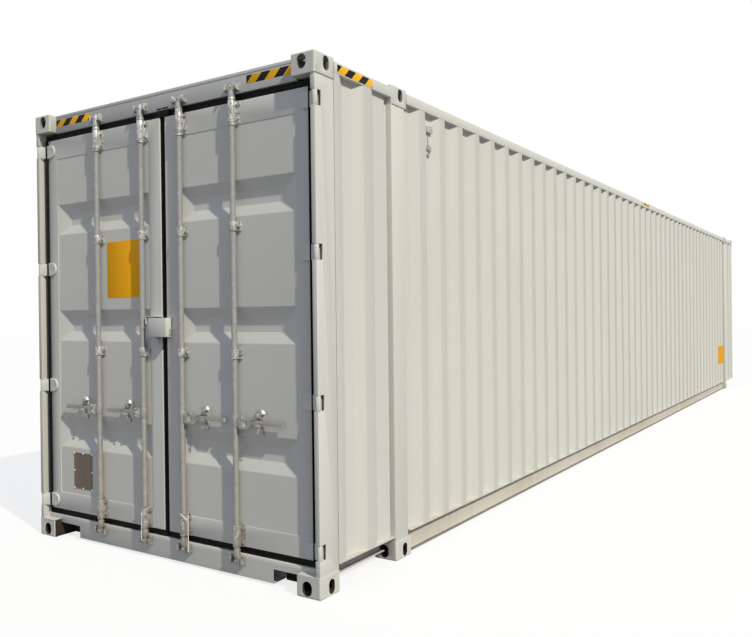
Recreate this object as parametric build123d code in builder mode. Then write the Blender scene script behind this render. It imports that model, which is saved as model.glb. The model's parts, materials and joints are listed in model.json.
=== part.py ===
from build123d import *
import os

os.makedirs("parts", exist_ok=True)

# A 45 ft high-cube dry freight container. X runs across the width, Y along the length
# with the door end at the low end, and Z up from the level that the corner fittings rest on.
# Every size is in millimetres.

# Outside envelope
length = 13716
width = 2438
height = 2896
forty_foot_length = 12192

# Corner fittings, and their holes measured from the outer faces
fitting_across = 162
fitting_along = 178
fitting_tall = 118
fitting_edge_radius = 10
fitting_wall = 20
fitting_back_wall = 12
fitting_slot_plate = 28
fitting_floor_plate = 12
slot_long = 124.5
slot_wide = 63.5
hole_from_end = 101.5
hole_from_side = 89
hole_from_slot_face = 51
side_hole_wide = 51
side_hole_tall = 79.5
end_hole_wide = 63.5

# Posts
post_setback = 5
post_sheet = 6
rear_post_front_across = 28
rear_post_deep = 168
rear_post_step_across = 68
rear_post_step_from_end = 112
front_post_across = 104
front_post_along = 168
front_post_leg = 40
middle_post_along = 151
middle_post_across = 58

# Rails
top_rail_setback = 20
top_rail_square = 62
rail_wall = 4
roof_rail_outer_setback = 2
floor_rail_top = 152
floor_rail_bottom = 14
floor_rail_web_setback = 16
floor_rail_web = 5
floor_rail_top_flange = 48
floor_rail_bottom_flange = 34
end_rail_setback = 79
end_rail_bottom = 40
end_rail_flange = 34
front_underside = 142

# Door end frame
door_plane = 52
door_frame_deep = 118
header_setback = 6
header_tall = 120
sill_top = 145
sill_bottom = 14
frame_sheet = 4
sill_notch_across = 202
sill_notch_top = 75

# Pressed sheet walls
sheet = 2
wall_setback = 2
wall_depth = 36
wall_outer_flat = 72
wall_slope = 68
wall_first_inner_flat = 123
wall_outer_flat_count = 43
front_wall_depth = 46
front_wall_pitch = 250
front_wall_flat = 104
front_wall_slope = 18
roof_depth = 20
roof_pitch = 209
roof_flat = 91
roof_slope = 13.5
roof_rib_from_rail = 40
roof_rib_end_slope = 30
roof_clear_of_ribs = 60
roof_valley_setback = 30

# End bays between the end posts and the forty foot posts
bay_first_flat = 51
bay_recess_flat = 98
bay_middle_flat = 83
bay_second_slope = 50
bay_second_depth = 25
bay_groove_wide = 42
bay_groove_depth = 42

# Floor
floor_board = 28
floor_top = 170
member_tall = 122
member_flange = 45
member_sheet = 4
member_pitch = 305
tunnel_wide = 1029
tunnel_tall = 120
tunnel_long = 3150
tunnel_sheet = 5

# Door leaves
leaf_gap = 45
leaf_side = 1147
leaf_bottom = 187
leaf_below_header = 44
leaf_deep = 50
leaf_hinge_stile = 95
leaf_centre_stile = 99.5
leaf_top_bar = 134
leaf_bottom_bar = 120
leaf_tube_wall = 4
leaf_panel_setback = 3
trough_count = 3
trough_pitch = 725
trough_tall = 208
trough_slope = 64
trough_depth = 36
trough_end_slope = 100
running_gap = 6
leaves_gap = 8
gasket_deep = 38
gasket_setback = 7

# Hinges
hinge_heights_above_ground = [246, 1038]
hinge_heights_below_top = [1058, 246]
hinge_axis_from_side = 17
hinge_axis_from_end = 20
hinge_knuckle_radius = 14.5
hinge_pin_radius = 8
hinge_pin_gap = 0.3
hinge_tall = 80
hinge_slot_tall = 100
hinge_slot_deep = 60
hinge_lug = 8
hinge_blade = 8
hinge_blade_reach = 76
hinge_blade_tall = 90

# Locking rods
rod_positions = [172, 602]
rod_radius = 17
rod_gap = 0.3
rod_above_sill = 5
rod_below_header = 8
rod_collar_radius = 20
rod_collar_tall = 40
cam_tall = 44
cam_reach = 29
cam_thick = 26
cam_from_frame_edge = 13
keeper_jaw = 15
keeper_gap = 10
keeper_tall = 56
keeper_reach = 38
keeper_plate = 4
keeper_chamfer = 6
keeper_collar_gap = 5
bracket_plate = 5
bracket_shell = 5
long_bracket_wide = 92
long_bracket_tall = 128
short_bracket_wide = 84
short_bracket_tall = 54
lower_bracket_height = 1285
upper_bracket_below_top = 884

# Handles and their catches
handle_height = 905
handle_long = 350
handle_thick = 10
handle_tall = 24
handle_hub_radius = 20
handle_hub_tall = 64
handle_fork_tall = 52
handle_fork_long = 48
handle_taper = 26
catch_from_rod = 170
catch_wide = 52
catch_tall = 150
catch_plate = 4
catch_gap = 7

# Lock box across the leaf gap, one half on each leaf
lock_box_height = 1438
lock_box_tall = 116
lock_box_left = 92
lock_box_right = 66
lock_box_sheet = 5
lock_box_reach = 50

# Ventilator
vent_wide = 60
vent_tall = 46
vent_deep = 22
vent_below_top = 174

# Values worked out from those above
door_end = -length / 2
front_end = length / 2
side = width / 2
forty = forty_foot_length / 2
forty_inner = forty - fitting_along
leaf_face = door_end + door_plane
fitting_inner_x = side - fitting_across
top_fitting_bottom = height - fitting_tall
rail_top = height - top_rail_setback
header_top = height - header_setback
header_bottom = header_top - header_tall
leaf_top = header_bottom - leaf_below_header
roof_valley_height = height - roof_valley_setback
hinge_heights = hinge_heights_above_ground + [height - below for below in hinge_heights_below_top]
rod_bottom = sill_top + rod_above_sill
rod_top = header_bottom - rod_below_header
short_bracket_heights = [lower_bracket_height, height - upper_bracket_below_top]
vent_height = height - vent_below_top
post_face = side - post_setback
rear_post_inner = post_face - rear_post_front_across
rear_post_back = door_end + post_setback + rear_post_deep
rear_post_step = post_face - rear_post_step_across
wall_face = side - wall_setback
top_rail_bottom = rail_top - top_rail_square
rail_inner = side - top_rail_square
floor_web = side - floor_rail_web_setback
end_rail_web = side - end_rail_setback
floor_bottom = floor_top - floor_board
member_bottom = floor_bottom - member_tall
door_frame_back = door_end + door_plane + door_frame_deep
front_post_front = front_end - post_setback
front_post_back = front_post_front - front_post_along
front_post_inner = post_face - front_post_across
middle_post_inner = forty - middle_post_along
hinge_x = side - hinge_axis_from_side
hinge_y = door_end + hinge_axis_from_end
rod_y = leaf_face - bracket_plate - rod_gap - rod_radius
leaf_centre = leaf_gap / 2
panel_face = leaf_face + leaf_panel_setback
gasket_edge_bottom = sill_top + running_gap
gasket_edge_top = header_bottom - running_gap
gasket_edge_side = rear_post_inner - running_gap
gasket_edge_centre = leaves_gap / 2
sides = [("right", 1), ("left", -1)]


def box_between(x_range, y_range, z_range, mode=Mode.ADD):
    """Add or cut a box between two values along each axis, in either order."""
    centre = [(low + high) / 2 for low, high in (x_range, y_range, z_range)]
    size = [abs(high - low) for low, high in (x_range, y_range, z_range)]
    with Locations(tuple(centre)):
        Box(*size, mode=mode)


def face_of(points):
    """Close a list of points into a face of the sketch that is open."""
    Polygon(*points, align=None)


def corner_fitting(x_side, y_outer, y_in, z_slot, z_in):
    """Return one hollow corner fitting with a slot, a side hole and an end hole.

    x_side is 1 or -1 for the side it stands on, y_outer its outer end face and y_in the
    way inward from there, z_slot its slotted face and z_in the way inward from that."""
    x_outer = x_side * side
    y_mid = y_outer + y_in * fitting_along / 2
    z_mid = z_slot + z_in * fitting_tall / 2
    x_hole = x_outer - x_side * hole_from_side
    y_hole = y_outer + y_in * hole_from_end
    z_hole = z_slot + z_in * hole_from_slot_face
    with BuildPart() as fitting:
        with BuildSketch(Plane.XY.offset(z_mid - fitting_tall / 2)):
            with Locations((x_outer - x_side * fitting_across / 2, y_mid)):
                RectangleRounded(fitting_across, fitting_along, fitting_edge_radius)
        extrude(amount=fitting_tall)
        cavity_x = (x_outer - x_side * fitting_wall, x_outer - x_side * (fitting_across - fitting_back_wall))
        cavity_y = (y_outer + y_in * fitting_wall, y_outer + y_in * (fitting_along - fitting_back_wall))
        cavity_z = (z_slot + z_in * fitting_slot_plate, z_slot + z_in * (fitting_tall - fitting_floor_plate))
        box_between(cavity_x, cavity_y, cavity_z, Mode.SUBTRACT)
        with BuildSketch(Plane.XY.offset(z_slot)):
            with Locations(Location((x_hole, y_hole), 90)):
                SlotOverall(slot_long, slot_wide)
        extrude(amount=z_in * (fitting_slot_plate + 1), mode=Mode.SUBTRACT)
        with BuildSketch(Plane.YZ.offset(x_outer)):
            with Locations(Location((y_hole, z_hole), 90)):
                SlotOverall(side_hole_tall, side_hole_wide)
        extrude(amount=-x_side * (fitting_wall + 1), mode=Mode.SUBTRACT)
        with BuildSketch(Plane.XZ.offset(-y_outer)):
            with Locations(Location((x_hole, z_hole), 90)):
                SlotOverall(side_hole_tall, end_hole_wide)
        extrude(amount=-y_in * (fitting_wall + 1), mode=Mode.SUBTRACT)
    return fitting.part


# Corner fittings at the door end, at the forty foot posts and at the front top corners
rear_corners = [corner_fitting(s, door_end, 1, 0, 1) for s in (1, -1)]
rear_corners += [corner_fitting(s, door_end, 1, height, -1) for s in (1, -1)]
with BuildPart() as rear_fittings:
    add(rear_corners)
rear_fittings.part.label = "rear_corner_fittings"
export_step(rear_fittings.part, "parts/rear_corner_fittings.step")

middle_ends = [(s, end * forty, -end) for s in (1, -1) for end in (1, -1)]
bottom_corners = [corner_fitting(s, y, way, 0, 1) for s, y, way in middle_ends]
with BuildPart() as bottom_fittings:
    add(bottom_corners)
bottom_fittings.part.label = "middle_bottom_fittings"
export_step(bottom_fittings.part, "parts/middle_bottom_fittings.step")

top_corners = [corner_fitting(s, y, way, height, -1) for s, y, way in middle_ends]
with BuildPart() as top_fittings:
    add(top_corners)
top_fittings.part.label = "middle_top_fittings"
export_step(top_fittings.part, "parts/middle_top_fittings.step")

front_corners = [corner_fitting(s, front_end, -1, height, -1) for s in (1, -1)]
with BuildPart() as front_fittings:
    add(front_corners)
front_fittings.part.label = "front_top_fittings"
export_step(front_fittings.part, "parts/front_top_fittings.step")


def rear_post(s):
    """Pressed hollow post with a stepped inner face, hinge slots, lugs and pins."""
    front = door_end + post_setback
    step = door_end + rear_post_step_from_end
    outline = [
        (s * rear_post_inner, front),
        (s * post_face, front),
        (s * post_face, rear_post_back),
        (s * rear_post_step, rear_post_back),
        (s * rear_post_step, step),
        (s * rear_post_inner, step),
    ]
    with BuildPart() as post:
        with BuildSketch(Plane.XY.offset(fitting_tall)) as section:
            face_of(outline)
            offset(amount=-post_sheet, mode=Mode.SUBTRACT)
        extrude(amount=top_fitting_bottom - fitting_tall)
        slot_x = (s * (rear_post_inner - 1), s * side)
        slot_y = (door_end, door_end + hinge_slot_deep)
        for z in hinge_heights:
            slot_z = (z - hinge_slot_tall / 2, z + hinge_slot_tall / 2)
            box_between(slot_x, slot_y, slot_z, Mode.SUBTRACT)
            for end in (-1, 1):
                lug_z = (z + end * hinge_slot_tall / 2, z + end * (hinge_slot_tall / 2 - hinge_lug))
                lug_x = (s * rear_post_inner, s * post_face)
                box_between(lug_x, (front, front + hinge_slot_deep - post_setback), lug_z)
            with Locations((s * hinge_x, hinge_y, z)):
                Cylinder(hinge_pin_radius, hinge_slot_tall - hinge_lug)
    return post


for side_name, s in sides:
    post = rear_post(s)
    post.part.label = f"{side_name}_rear_post"
    export_step(post.part, f"parts/{side_name}_rear_post.step")

with BuildPart() as front_posts:
    for s in (1, -1):
        with BuildSketch(Plane.XY.offset(front_underside)):
            face_of([
                (s * front_post_inner, front_post_front),
                (s * post_face, front_post_front),
                (s * post_face, front_post_back),
                (s * (post_face - front_post_leg), front_post_back),
                (s * (post_face - front_post_leg), front_post_front - front_post_leg),
                (s * front_post_inner, front_post_front - front_post_leg),
            ])
            offset(amount=-post_sheet, mode=Mode.SUBTRACT)
        extrude(amount=top_fitting_bottom - front_underside)
front_posts.part.label = "front_posts"
export_step(front_posts.part, "parts/front_posts.step")

with BuildPart() as middle_posts:
    with BuildSketch(Plane.XY.offset(fitting_tall)):
        for s in (1, -1):
            for end in (1, -1):
                with Locations((s * (post_face - middle_post_across / 2), end * (forty - middle_post_along / 2))):
                    Rectangle(middle_post_across, middle_post_along)
                    Rectangle(middle_post_across - 2 * post_sheet, middle_post_along - 2 * post_sheet,
                              mode=Mode.SUBTRACT)
    extrude(amount=top_fitting_bottom - fitting_tall)
middle_posts.part.label = "middle_posts"
export_step(middle_posts.part, "parts/middle_posts.step")

# Door end frame
with BuildPart() as door_header:
    header_x = (-fitting_inner_x, fitting_inner_x)
    box_between(header_x, (leaf_face, door_frame_back), (header_bottom, header_top))
    box_between(header_x, (leaf_face + frame_sheet, door_frame_back - frame_sheet),
                (header_bottom + frame_sheet, header_top - frame_sheet), Mode.SUBTRACT)
door_header.part.label = "door_header"
export_step(door_header.part, "parts/door_header.step")

with BuildPart() as door_sill:
    sill_y = (leaf_face, door_frame_back)
    box_between((-fitting_inner_x, fitting_inner_x), sill_y, (sill_bottom, sill_top))
    step_y = (leaf_face, door_end + rear_post_step_from_end)
    box_between((-rear_post_inner, rear_post_inner), step_y, (fitting_tall, sill_top))
    box_between((-rear_post_step, rear_post_step), sill_y, (fitting_tall, sill_top))
    box_between((-fitting_inner_x, fitting_inner_x), (leaf_face + frame_sheet, door_frame_back - frame_sheet),
                (sill_bottom + frame_sheet, sill_top - frame_sheet), Mode.SUBTRACT)
    for s in (1, -1):
        notch_x = (s * (fitting_inner_x - sill_notch_across), s * fitting_inner_x)
        box_between(notch_x, sill_y, (sill_bottom, sill_notch_top), Mode.SUBTRACT)
door_sill.part.label = "door_sill"
export_step(door_sill.part, "parts/door_sill.step")

# Front frame
front_inner = front_post_front - front_post_leg
with BuildPart() as front_header:
    header_y = (front_post_front - top_rail_square, front_post_front)
    box_between((-fitting_inner_x, fitting_inner_x), header_y, (top_rail_bottom, rail_top))
    box_between((-fitting_inner_x, fitting_inner_x),
                (header_y[0] + rail_wall, header_y[1] - rail_wall),
                (top_rail_bottom + rail_wall, rail_top - rail_wall), Mode.SUBTRACT)
front_header.part.label = "front_header"
export_step(front_header.part, "parts/front_header.step")

with BuildPart() as front_sill:
    front_sill_top = front_underside + fitting_tall
    sill_range = (-front_post_inner, front_post_inner)
    box_between(sill_range, (front_inner, front_post_front), (front_underside, front_sill_top))
    box_between(sill_range, (front_inner + frame_sheet, front_post_front - frame_sheet),
                (front_underside + frame_sheet, front_sill_top - frame_sheet), Mode.SUBTRACT)
front_sill.part.label = "front_sill"
export_step(front_sill.part, "parts/front_sill.step")

# The lengths that the fittings take up, and those between them
fitting_ends = [
    (door_end, door_end + fitting_along),
    (-forty, -forty_inner),
    (forty_inner, forty),
    (front_end - fitting_along, front_end),
]
rail_spans = [
    (door_end + fitting_along, -forty),
    (-forty_inner, forty_inner),
    (forty, front_end - fitting_along),
]
with BuildPart() as top_rails:
    for side_name, s in sides:
        for start, stop in rail_spans:
            box_between((s * rail_inner, s * side), (start, stop), (top_rail_bottom, rail_top))
            box_between((s * (rail_inner + rail_wall), s * (side - rail_wall)), (start, stop),
                        (top_rail_bottom + rail_wall, rail_top - rail_wall), Mode.SUBTRACT)
top_rails.part.label = "top_rails"
export_step(top_rails.part, "parts/top_rails.step")

with BuildPart() as bottom_rails:
    for side_name, s in sides:
        with BuildSketch(Plane.XZ.offset(forty_inner)):
            inner_web = floor_web - floor_rail_web
            under_top = floor_rail_top - floor_rail_web
            face_of([
                (s * wall_face, floor_rail_top),
                (s * (wall_face - floor_rail_top_flange), floor_rail_top),
                (s * (wall_face - floor_rail_top_flange), under_top),
                (s * inner_web, under_top),
                (s * inner_web, floor_rail_bottom + floor_rail_web),
                (s * (floor_web - floor_rail_bottom_flange), floor_rail_bottom + floor_rail_web),
                (s * (floor_web - floor_rail_bottom_flange), floor_rail_bottom),
                (s * floor_web, floor_rail_bottom),
                (s * floor_web, under_top),
                (s * wall_face, under_top),
            ])
        extrude(amount=-2 * forty_inner)
        with BuildSketch(Plane.XZ.offset(-door_end - fitting_along)):
            face_of([
                (s * wall_face, floor_rail_top),
                (s * (end_rail_web - floor_rail_web), floor_rail_top),
                (s * (end_rail_web - floor_rail_web), end_rail_bottom),
                (s * (end_rail_web + end_rail_flange), end_rail_bottom),
                (s * (end_rail_web + end_rail_flange), end_rail_bottom + floor_rail_web),
                (s * end_rail_web, end_rail_bottom + floor_rail_web),
                (s * end_rail_web, under_top),
                (s * wall_face, under_top),
            ])
        extrude(amount=-(length / 2 - fitting_along - forty))
        front_rail_x = (s * (end_rail_web - floor_rail_web), s * wall_face)
        box_between(front_rail_x, (forty, front_post_back), (front_underside, floor_rail_top))
bottom_rails.part.label = "bottom_rails"
export_step(bottom_rails.part, "parts/bottom_rails.step")


def sheet_strip(path, thick):
    """Return a closed outline that follows a path of points, one sheet thick on its low side."""
    back = [(along, depth + thick) for along, depth in path]
    return path + back[::-1]


def main_wall_path():
    """Points along the forty foot side wall: distance along Y and depth behind its outer face."""
    span = 2 * middle_post_inner
    flats = wall_outer_flat_count * wall_outer_flat
    ends = 2 * (wall_first_inner_flat + wall_slope)
    recess = (span - ends - flats) / (wall_outer_flat_count - 1)
    y = -middle_post_inner
    path = [(y, wall_depth)]
    y += wall_first_inner_flat
    path.append((y, wall_depth))
    for n in range(wall_outer_flat_count):
        y += wall_slope
        path.append((y, 0))
        y += wall_outer_flat
        path.append((y, 0))
        y += wall_slope
        path.append((y, wall_depth))
        if n < wall_outer_flat_count - 1:
            y += recess - 2 * wall_slope
            path.append((y, wall_depth))
    path.append((middle_post_inner, wall_depth))
    return path


def bay_wall_path():
    """Points along an end bay, as distance from the end post and depth."""
    bay = length / 2 - forty - post_setback - rear_post_deep
    steps = [
        (0, 0),
        (bay_first_flat, 0),
        (wall_slope, wall_depth),
        (bay_recess_flat, wall_depth),
        (wall_slope, 0),
        (bay_middle_flat, 0),
        (bay_second_slope, bay_second_depth),
    ]
    along = 0
    path = []
    for step, depth in steps:
        along += step
        path.append((along, depth))
    groove_start = bay - bay_groove_wide
    path.append((groove_start, bay_second_depth))
    path.append((groove_start + bay_groove_depth - bay_second_depth, bay_groove_depth))
    path.append((bay, bay_groove_depth))
    return path


for side_name, s in sides:
    with BuildPart() as side_wall:
        for start, way, path in (
            (0, 1, main_wall_path()),
            (rear_post_back, 1, bay_wall_path()),
            (front_post_back, -1, bay_wall_path()),
        ):
            with BuildSketch(Plane.XY.offset(floor_rail_top)):
                outline = sheet_strip(path, sheet)
                face_of([(s * (wall_face - depth), start + way * along) for along, depth in outline])
            extrude(amount=top_rail_bottom - floor_rail_top)
        for y_range in fitting_ends:
            box_between((s * fitting_inner_x, s * side), y_range, (top_fitting_bottom, height), Mode.SUBTRACT)
    side_wall.part.label = f"{side_name}_side_wall"
    export_step(side_wall.part, f"parts/{side_name}_side_wall.step")

with BuildPart() as front_wall:
    half = front_post_inner
    count = int(2 * half // front_wall_pitch)
    margin = (2 * half - count * front_wall_pitch) / 2
    path = [(-half, 0)]
    for n in range(count):
        x = -half + margin + n * front_wall_pitch
        path.append((x + front_wall_slope / 2, 0))
        path.append((x + front_wall_slope / 2 + front_wall_slope, front_wall_depth))
        path.append((x + front_wall_slope * 1.5 + front_wall_flat, front_wall_depth))
        path.append((x + front_wall_slope * 2.5 + front_wall_flat, 0))
    path.append((half, 0))
    with BuildSketch(Plane.XY.offset(front_sill_top)):
        outline = sheet_strip(path, sheet)
        face_of([(x, front_post_front - depth) for x, depth in outline])
    extrude(amount=top_rail_bottom - front_sill_top)
    for s in (1, -1):
        box_between((s * fitting_inner_x, s * side), fitting_ends[-1], (top_fitting_bottom, height), Mode.SUBTRACT)
front_wall.part.label = "front_wall"
export_step(front_wall.part, "parts/front_wall.step")

# Roof: flat sheets between the rails, with hollow ribs pressed up that taper out before the rails
rib_long = 2 * (rail_inner - roof_rib_from_rail)
rib_wide = roof_flat + 2 * roof_slope
roof_underside = roof_valley_height - sheet


def roof_rib(grow):
    """Return one tapered rib at the middle of the roof, grown by one wall on every side or not."""
    with BuildPart() as rib:
        with BuildSketch(Plane.XY.offset(roof_underside)):
            Rectangle(rib_long + 2 * grow, rib_wide + 2 * grow)
        with BuildSketch(Plane.XY.offset(roof_underside + roof_depth + grow)):
            Rectangle(rib_long - 2 * roof_rib_end_slope + 2 * grow, roof_flat + 2 * grow)
        loft(ruled=True)
    return rib.part


def roof_sheet(y_range, half):
    """Return one sheet of the roof with as many ribs as fit between its ends."""
    start, stop = y_range
    count = int((stop - start - roof_clear_of_ribs) // roof_pitch)
    if half < rail_inner:
        count = 0
    places = [(0, (start + stop) / 2 + (n - (count - 1) / 2) * roof_pitch, 0) for n in range(count)]
    with BuildPart() as panel:
        box_between((-half, half), y_range, (roof_underside, roof_valley_height))
        if places:
            with Locations(*places):
                add(roof_rib(sheet))
            with Locations(*places):
                add(roof_rib(0), mode=Mode.SUBTRACT)
    return panel.part


roof_start = door_frame_back
roof_stop = front_post_front - top_rail_square
roof_sheets = [
    roof_sheet((roof_start, fitting_ends[0][1]), fitting_inner_x),
    roof_sheet((fitting_ends[0][1], -forty), rail_inner),
    roof_sheet((-forty, -forty_inner), fitting_inner_x),
    roof_sheet((-forty_inner, forty_inner), rail_inner),
    roof_sheet((forty_inner, forty), fitting_inner_x),
    roof_sheet((forty, front_end - fitting_along), rail_inner),
    roof_sheet((front_end - fitting_along, roof_stop), fitting_inner_x),
]
roof = Compound(label="roof_panel", children=roof_sheets)
export_step(roof, "parts/roof_panel.step")

# Floor boards, cross members and the tunnel for a gooseneck trailer
floor_half = wall_face - wall_depth - sheet - running_gap
with BuildPart() as floor:
    box_between((-floor_half, floor_half), (door_frame_back, front_inner), (floor_bottom, floor_top))
    for s in (1, -1):
        for end in (1, -1):
            post_x = (s * (post_face - middle_post_across), s * floor_half)
            box_between(post_x, (end * forty, end * middle_post_inner), (floor_bottom, floor_top), Mode.SUBTRACT)
        rear_x = (s * rear_post_step, s * floor_half)
        box_between(rear_x, (door_frame_back, rear_post_back), (floor_bottom, floor_top), Mode.SUBTRACT)
        rail_x = (s * (wall_face - floor_rail_top_flange), s * floor_half)
        box_between(rail_x, (door_frame_back, front_inner), (floor_bottom, floor_rail_top), Mode.SUBTRACT)
        end_x = (s * (end_rail_web - floor_rail_web), s * floor_half)
        for y_range in ((door_frame_back, -forty), (forty, front_inner)):
            box_between(end_x, y_range, (floor_bottom, floor_rail_top), Mode.SUBTRACT)
floor.part.label = "floor_boards"
export_step(floor.part, "parts/floor_boards.step")

tunnel_back = forty - tunnel_long


def channel_member(x_range, y):
    """Add one cross member of C section that opens towards the front."""
    z_range = (member_bottom, floor_bottom)
    box_between(x_range, (y, y + member_flange), z_range)
    box_between(x_range, (y + member_sheet, y + member_flange),
                (member_bottom + member_sheet, floor_bottom - member_sheet), Mode.SUBTRACT)


with BuildPart() as cross_members:
    member_half = floor_web - floor_rail_web
    count = int((tunnel_back + forty_inner) // member_pitch)
    for n in range(1, count + 1):
        channel_member((-member_half, member_half), -forty_inner + (n - 0.5) * member_pitch)
    tunnel_count = int((forty_inner - tunnel_back) // member_pitch)
    for n in range(tunnel_count):
        y = forty_inner - (n + 0.5) * member_pitch
        for s in (1, -1):
            channel_member((s * (tunnel_wide / 2 + tunnel_sheet), s * member_half), y)
    end_half = end_rail_web - floor_rail_web
    bay = -forty - door_frame_back
    bay_count = int(bay // member_pitch)
    for n in range(bay_count):
        channel_member((-end_half, end_half), door_frame_back + (n + 0.5) * bay / bay_count)
    for y in (-forty, forty_inner):
        box_between((-fitting_inner_x, fitting_inner_x), (y, y + fitting_along), (member_bottom, floor_bottom))
        box_between((-fitting_inner_x, fitting_inner_x), (y + member_sheet, y + fitting_along - member_sheet),
                    (member_bottom + member_sheet, floor_bottom - member_sheet), Mode.SUBTRACT)
    tunnel_x = (-tunnel_wide / 2 - tunnel_sheet, tunnel_wide / 2 + tunnel_sheet)
    box_between(tunnel_x, (forty_inner, forty), (member_bottom, tunnel_tall + tunnel_sheet), Mode.SUBTRACT)
cross_members.part.label = "cross_members"
export_step(cross_members.part, "parts/cross_members.step")

with BuildPart() as tunnel:
    tunnel_y = (tunnel_back, forty)
    box_between(tunnel_x, tunnel_y, (member_bottom, tunnel_tall + tunnel_sheet))
    box_between((-tunnel_wide / 2, tunnel_wide / 2), (tunnel_back + tunnel_sheet, forty),
                (member_bottom, tunnel_tall), Mode.SUBTRACT)
tunnel.part.label = "gooseneck_tunnel"
export_step(tunnel.part, "parts/gooseneck_tunnel.step")

# Keepers on the header and the sill: two chamfered jaws on a plate, open outwards
with BuildPart() as keepers:
    jaw_in = cam_reach + keeper_gap
    jaw_out = jaw_in + keeper_jaw
    keeper_outline = [
        (-jaw_out, leaf_face),
        (-jaw_out, leaf_face - keeper_reach + keeper_chamfer),
        (-jaw_out + keeper_chamfer, leaf_face - keeper_reach),
        (-jaw_in, leaf_face - keeper_reach),
        (-jaw_in, leaf_face - keeper_plate),
        (jaw_in, leaf_face - keeper_plate),
        (jaw_in, leaf_face - keeper_reach),
        (jaw_out - keeper_chamfer, leaf_face - keeper_reach),
        (jaw_out, leaf_face - keeper_reach + keeper_chamfer),
        (jaw_out, leaf_face),
    ]
    for z in (header_bottom + cam_from_frame_edge + cam_tall / 2,
              sill_top - cam_from_frame_edge - cam_tall / 2):
        with BuildSketch(Plane.XY.offset(z - keeper_tall / 2)):
            for s in (1, -1):
                for x in rod_positions:
                    face_of([(s * x + across, y) for across, y in keeper_outline])
        extrude(amount=keeper_tall)
        for centre in [s * x for s in (1, -1) for x in rod_positions]:
            for way in (1, -1):
                collar_z = (z + way * (cam_tall / 2 - keeper_collar_gap), z + way * keeper_tall / 2)
                box_between((centre - jaw_in, centre + jaw_in), (leaf_face - keeper_plate, leaf_face),
                            collar_z, Mode.SUBTRACT)
keepers.part.label = "rod_keepers"
export_step(keepers.part, "parts/rod_keepers.step")

# Small ventilators in the first full recess of each side wall
with BuildPart() as ventilators:
    first_recess = -middle_post_inner + wall_first_inner_flat + 2 * wall_slope + wall_outer_flat
    flats = wall_outer_flat_count * wall_outer_flat + 2 * (wall_first_inner_flat + wall_slope)
    recess_flat = (2 * middle_post_inner - flats) / (wall_outer_flat_count - 1) - 2 * wall_slope
    vent_y = first_recess + (recess_flat - vent_wide) / 2 + vent_wide / 2
    for s in (1, -1):
        vent_back = s * (wall_face - wall_depth)
        box_between((vent_back, vent_back + s * vent_deep), (vent_y - vent_wide / 2, vent_y + vent_wide / 2),
                    (vent_height - vent_tall / 2, vent_height + vent_tall / 2))
ventilators.part.label = "ventilators"
export_step(ventilators.part, "parts/ventilators.step")


def door_frame(s):
    """Hollow rectangular tubes round the leaf."""
    x_in, x_out = leaf_centre, leaf_side
    bars = [
        ((s * x_in, s * (x_in + leaf_centre_stile)), (leaf_bottom, leaf_top)),
        ((s * (x_out - leaf_hinge_stile), s * x_out), (leaf_bottom, leaf_top)),
        ((s * x_in, s * x_out), (leaf_bottom, leaf_bottom + leaf_bottom_bar)),
        ((s * x_in, s * x_out), (leaf_top - leaf_top_bar, leaf_top)),
    ]
    with BuildPart() as frame:
        for x_range, z_range in bars:
            box_between(x_range, (leaf_face, leaf_face + leaf_deep), z_range)
        for x_range, z_range in bars:
            low_x, high_x = sorted(x_range)
            inner_y = (leaf_face + leaf_tube_wall, leaf_face + leaf_deep - leaf_tube_wall)
            box_between((low_x + leaf_tube_wall, high_x - leaf_tube_wall), inner_y,
                        (z_range[0] + leaf_tube_wall, z_range[1] - leaf_tube_wall), Mode.SUBTRACT)
    return frame


panel_x_in = leaf_centre + leaf_centre_stile
panel_x_out = leaf_side - leaf_hinge_stile
panel_bottom = leaf_bottom + leaf_bottom_bar
panel_top = leaf_top - leaf_top_bar


def door_panel(s):
    """Sheet with flat outer face and tapered troughs pressed inwards, made by lofts."""
    mid_x = s * (panel_x_in + panel_x_out) / 2
    wide = panel_x_out - panel_x_in
    mid_z = (panel_bottom + panel_top) / 2
    first = -(trough_count - 1) / 2
    heights = [mid_z + (first + n) * trough_pitch for n in range(trough_count)]
    with BuildPart() as panel:
        box_between((s * panel_x_in, s * panel_x_out), (panel_face, panel_face + sheet), (panel_bottom, panel_top))
        for grow, shift, mode in ((sheet, sheet, Mode.ADD), (0, 0, Mode.SUBTRACT)):
            for z in heights:
                outer = Plane(origin=(mid_x, panel_face, z), x_dir=(1, 0, 0), z_dir=(0, 1, 0))
                inner = outer.offset(trough_depth + shift)
                with BuildSketch(outer):
                    Rectangle(wide - 2 * sheet, trough_tall + 2 * grow)
                with BuildSketch(inner):
                    Rectangle(wide - 2 * sheet - 2 * trough_end_slope, trough_tall - 2 * trough_slope + 2 * grow)
                loft(ruled=True, mode=mode)
    return panel


def door_gasket(s):
    """Rubber seal round the leaf, one hollow lip wide."""
    with BuildPart() as gasket:
        plane = Plane.XZ.offset(-leaf_face - gasket_setback)
        with BuildSketch(plane):
            face_of([
                (s * gasket_edge_centre, gasket_edge_bottom),
                (s * gasket_edge_side, gasket_edge_bottom),
                (s * gasket_edge_side, gasket_edge_top),
                (s * gasket_edge_centre, gasket_edge_top),
            ])
            with Locations((s * (leaf_centre + leaf_side) / 2, (leaf_bottom + leaf_top) / 2)):
                Rectangle(leaf_side - leaf_centre, leaf_top - leaf_bottom, mode=Mode.SUBTRACT)
        extrude(amount=-gasket_deep)
    return gasket


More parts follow.
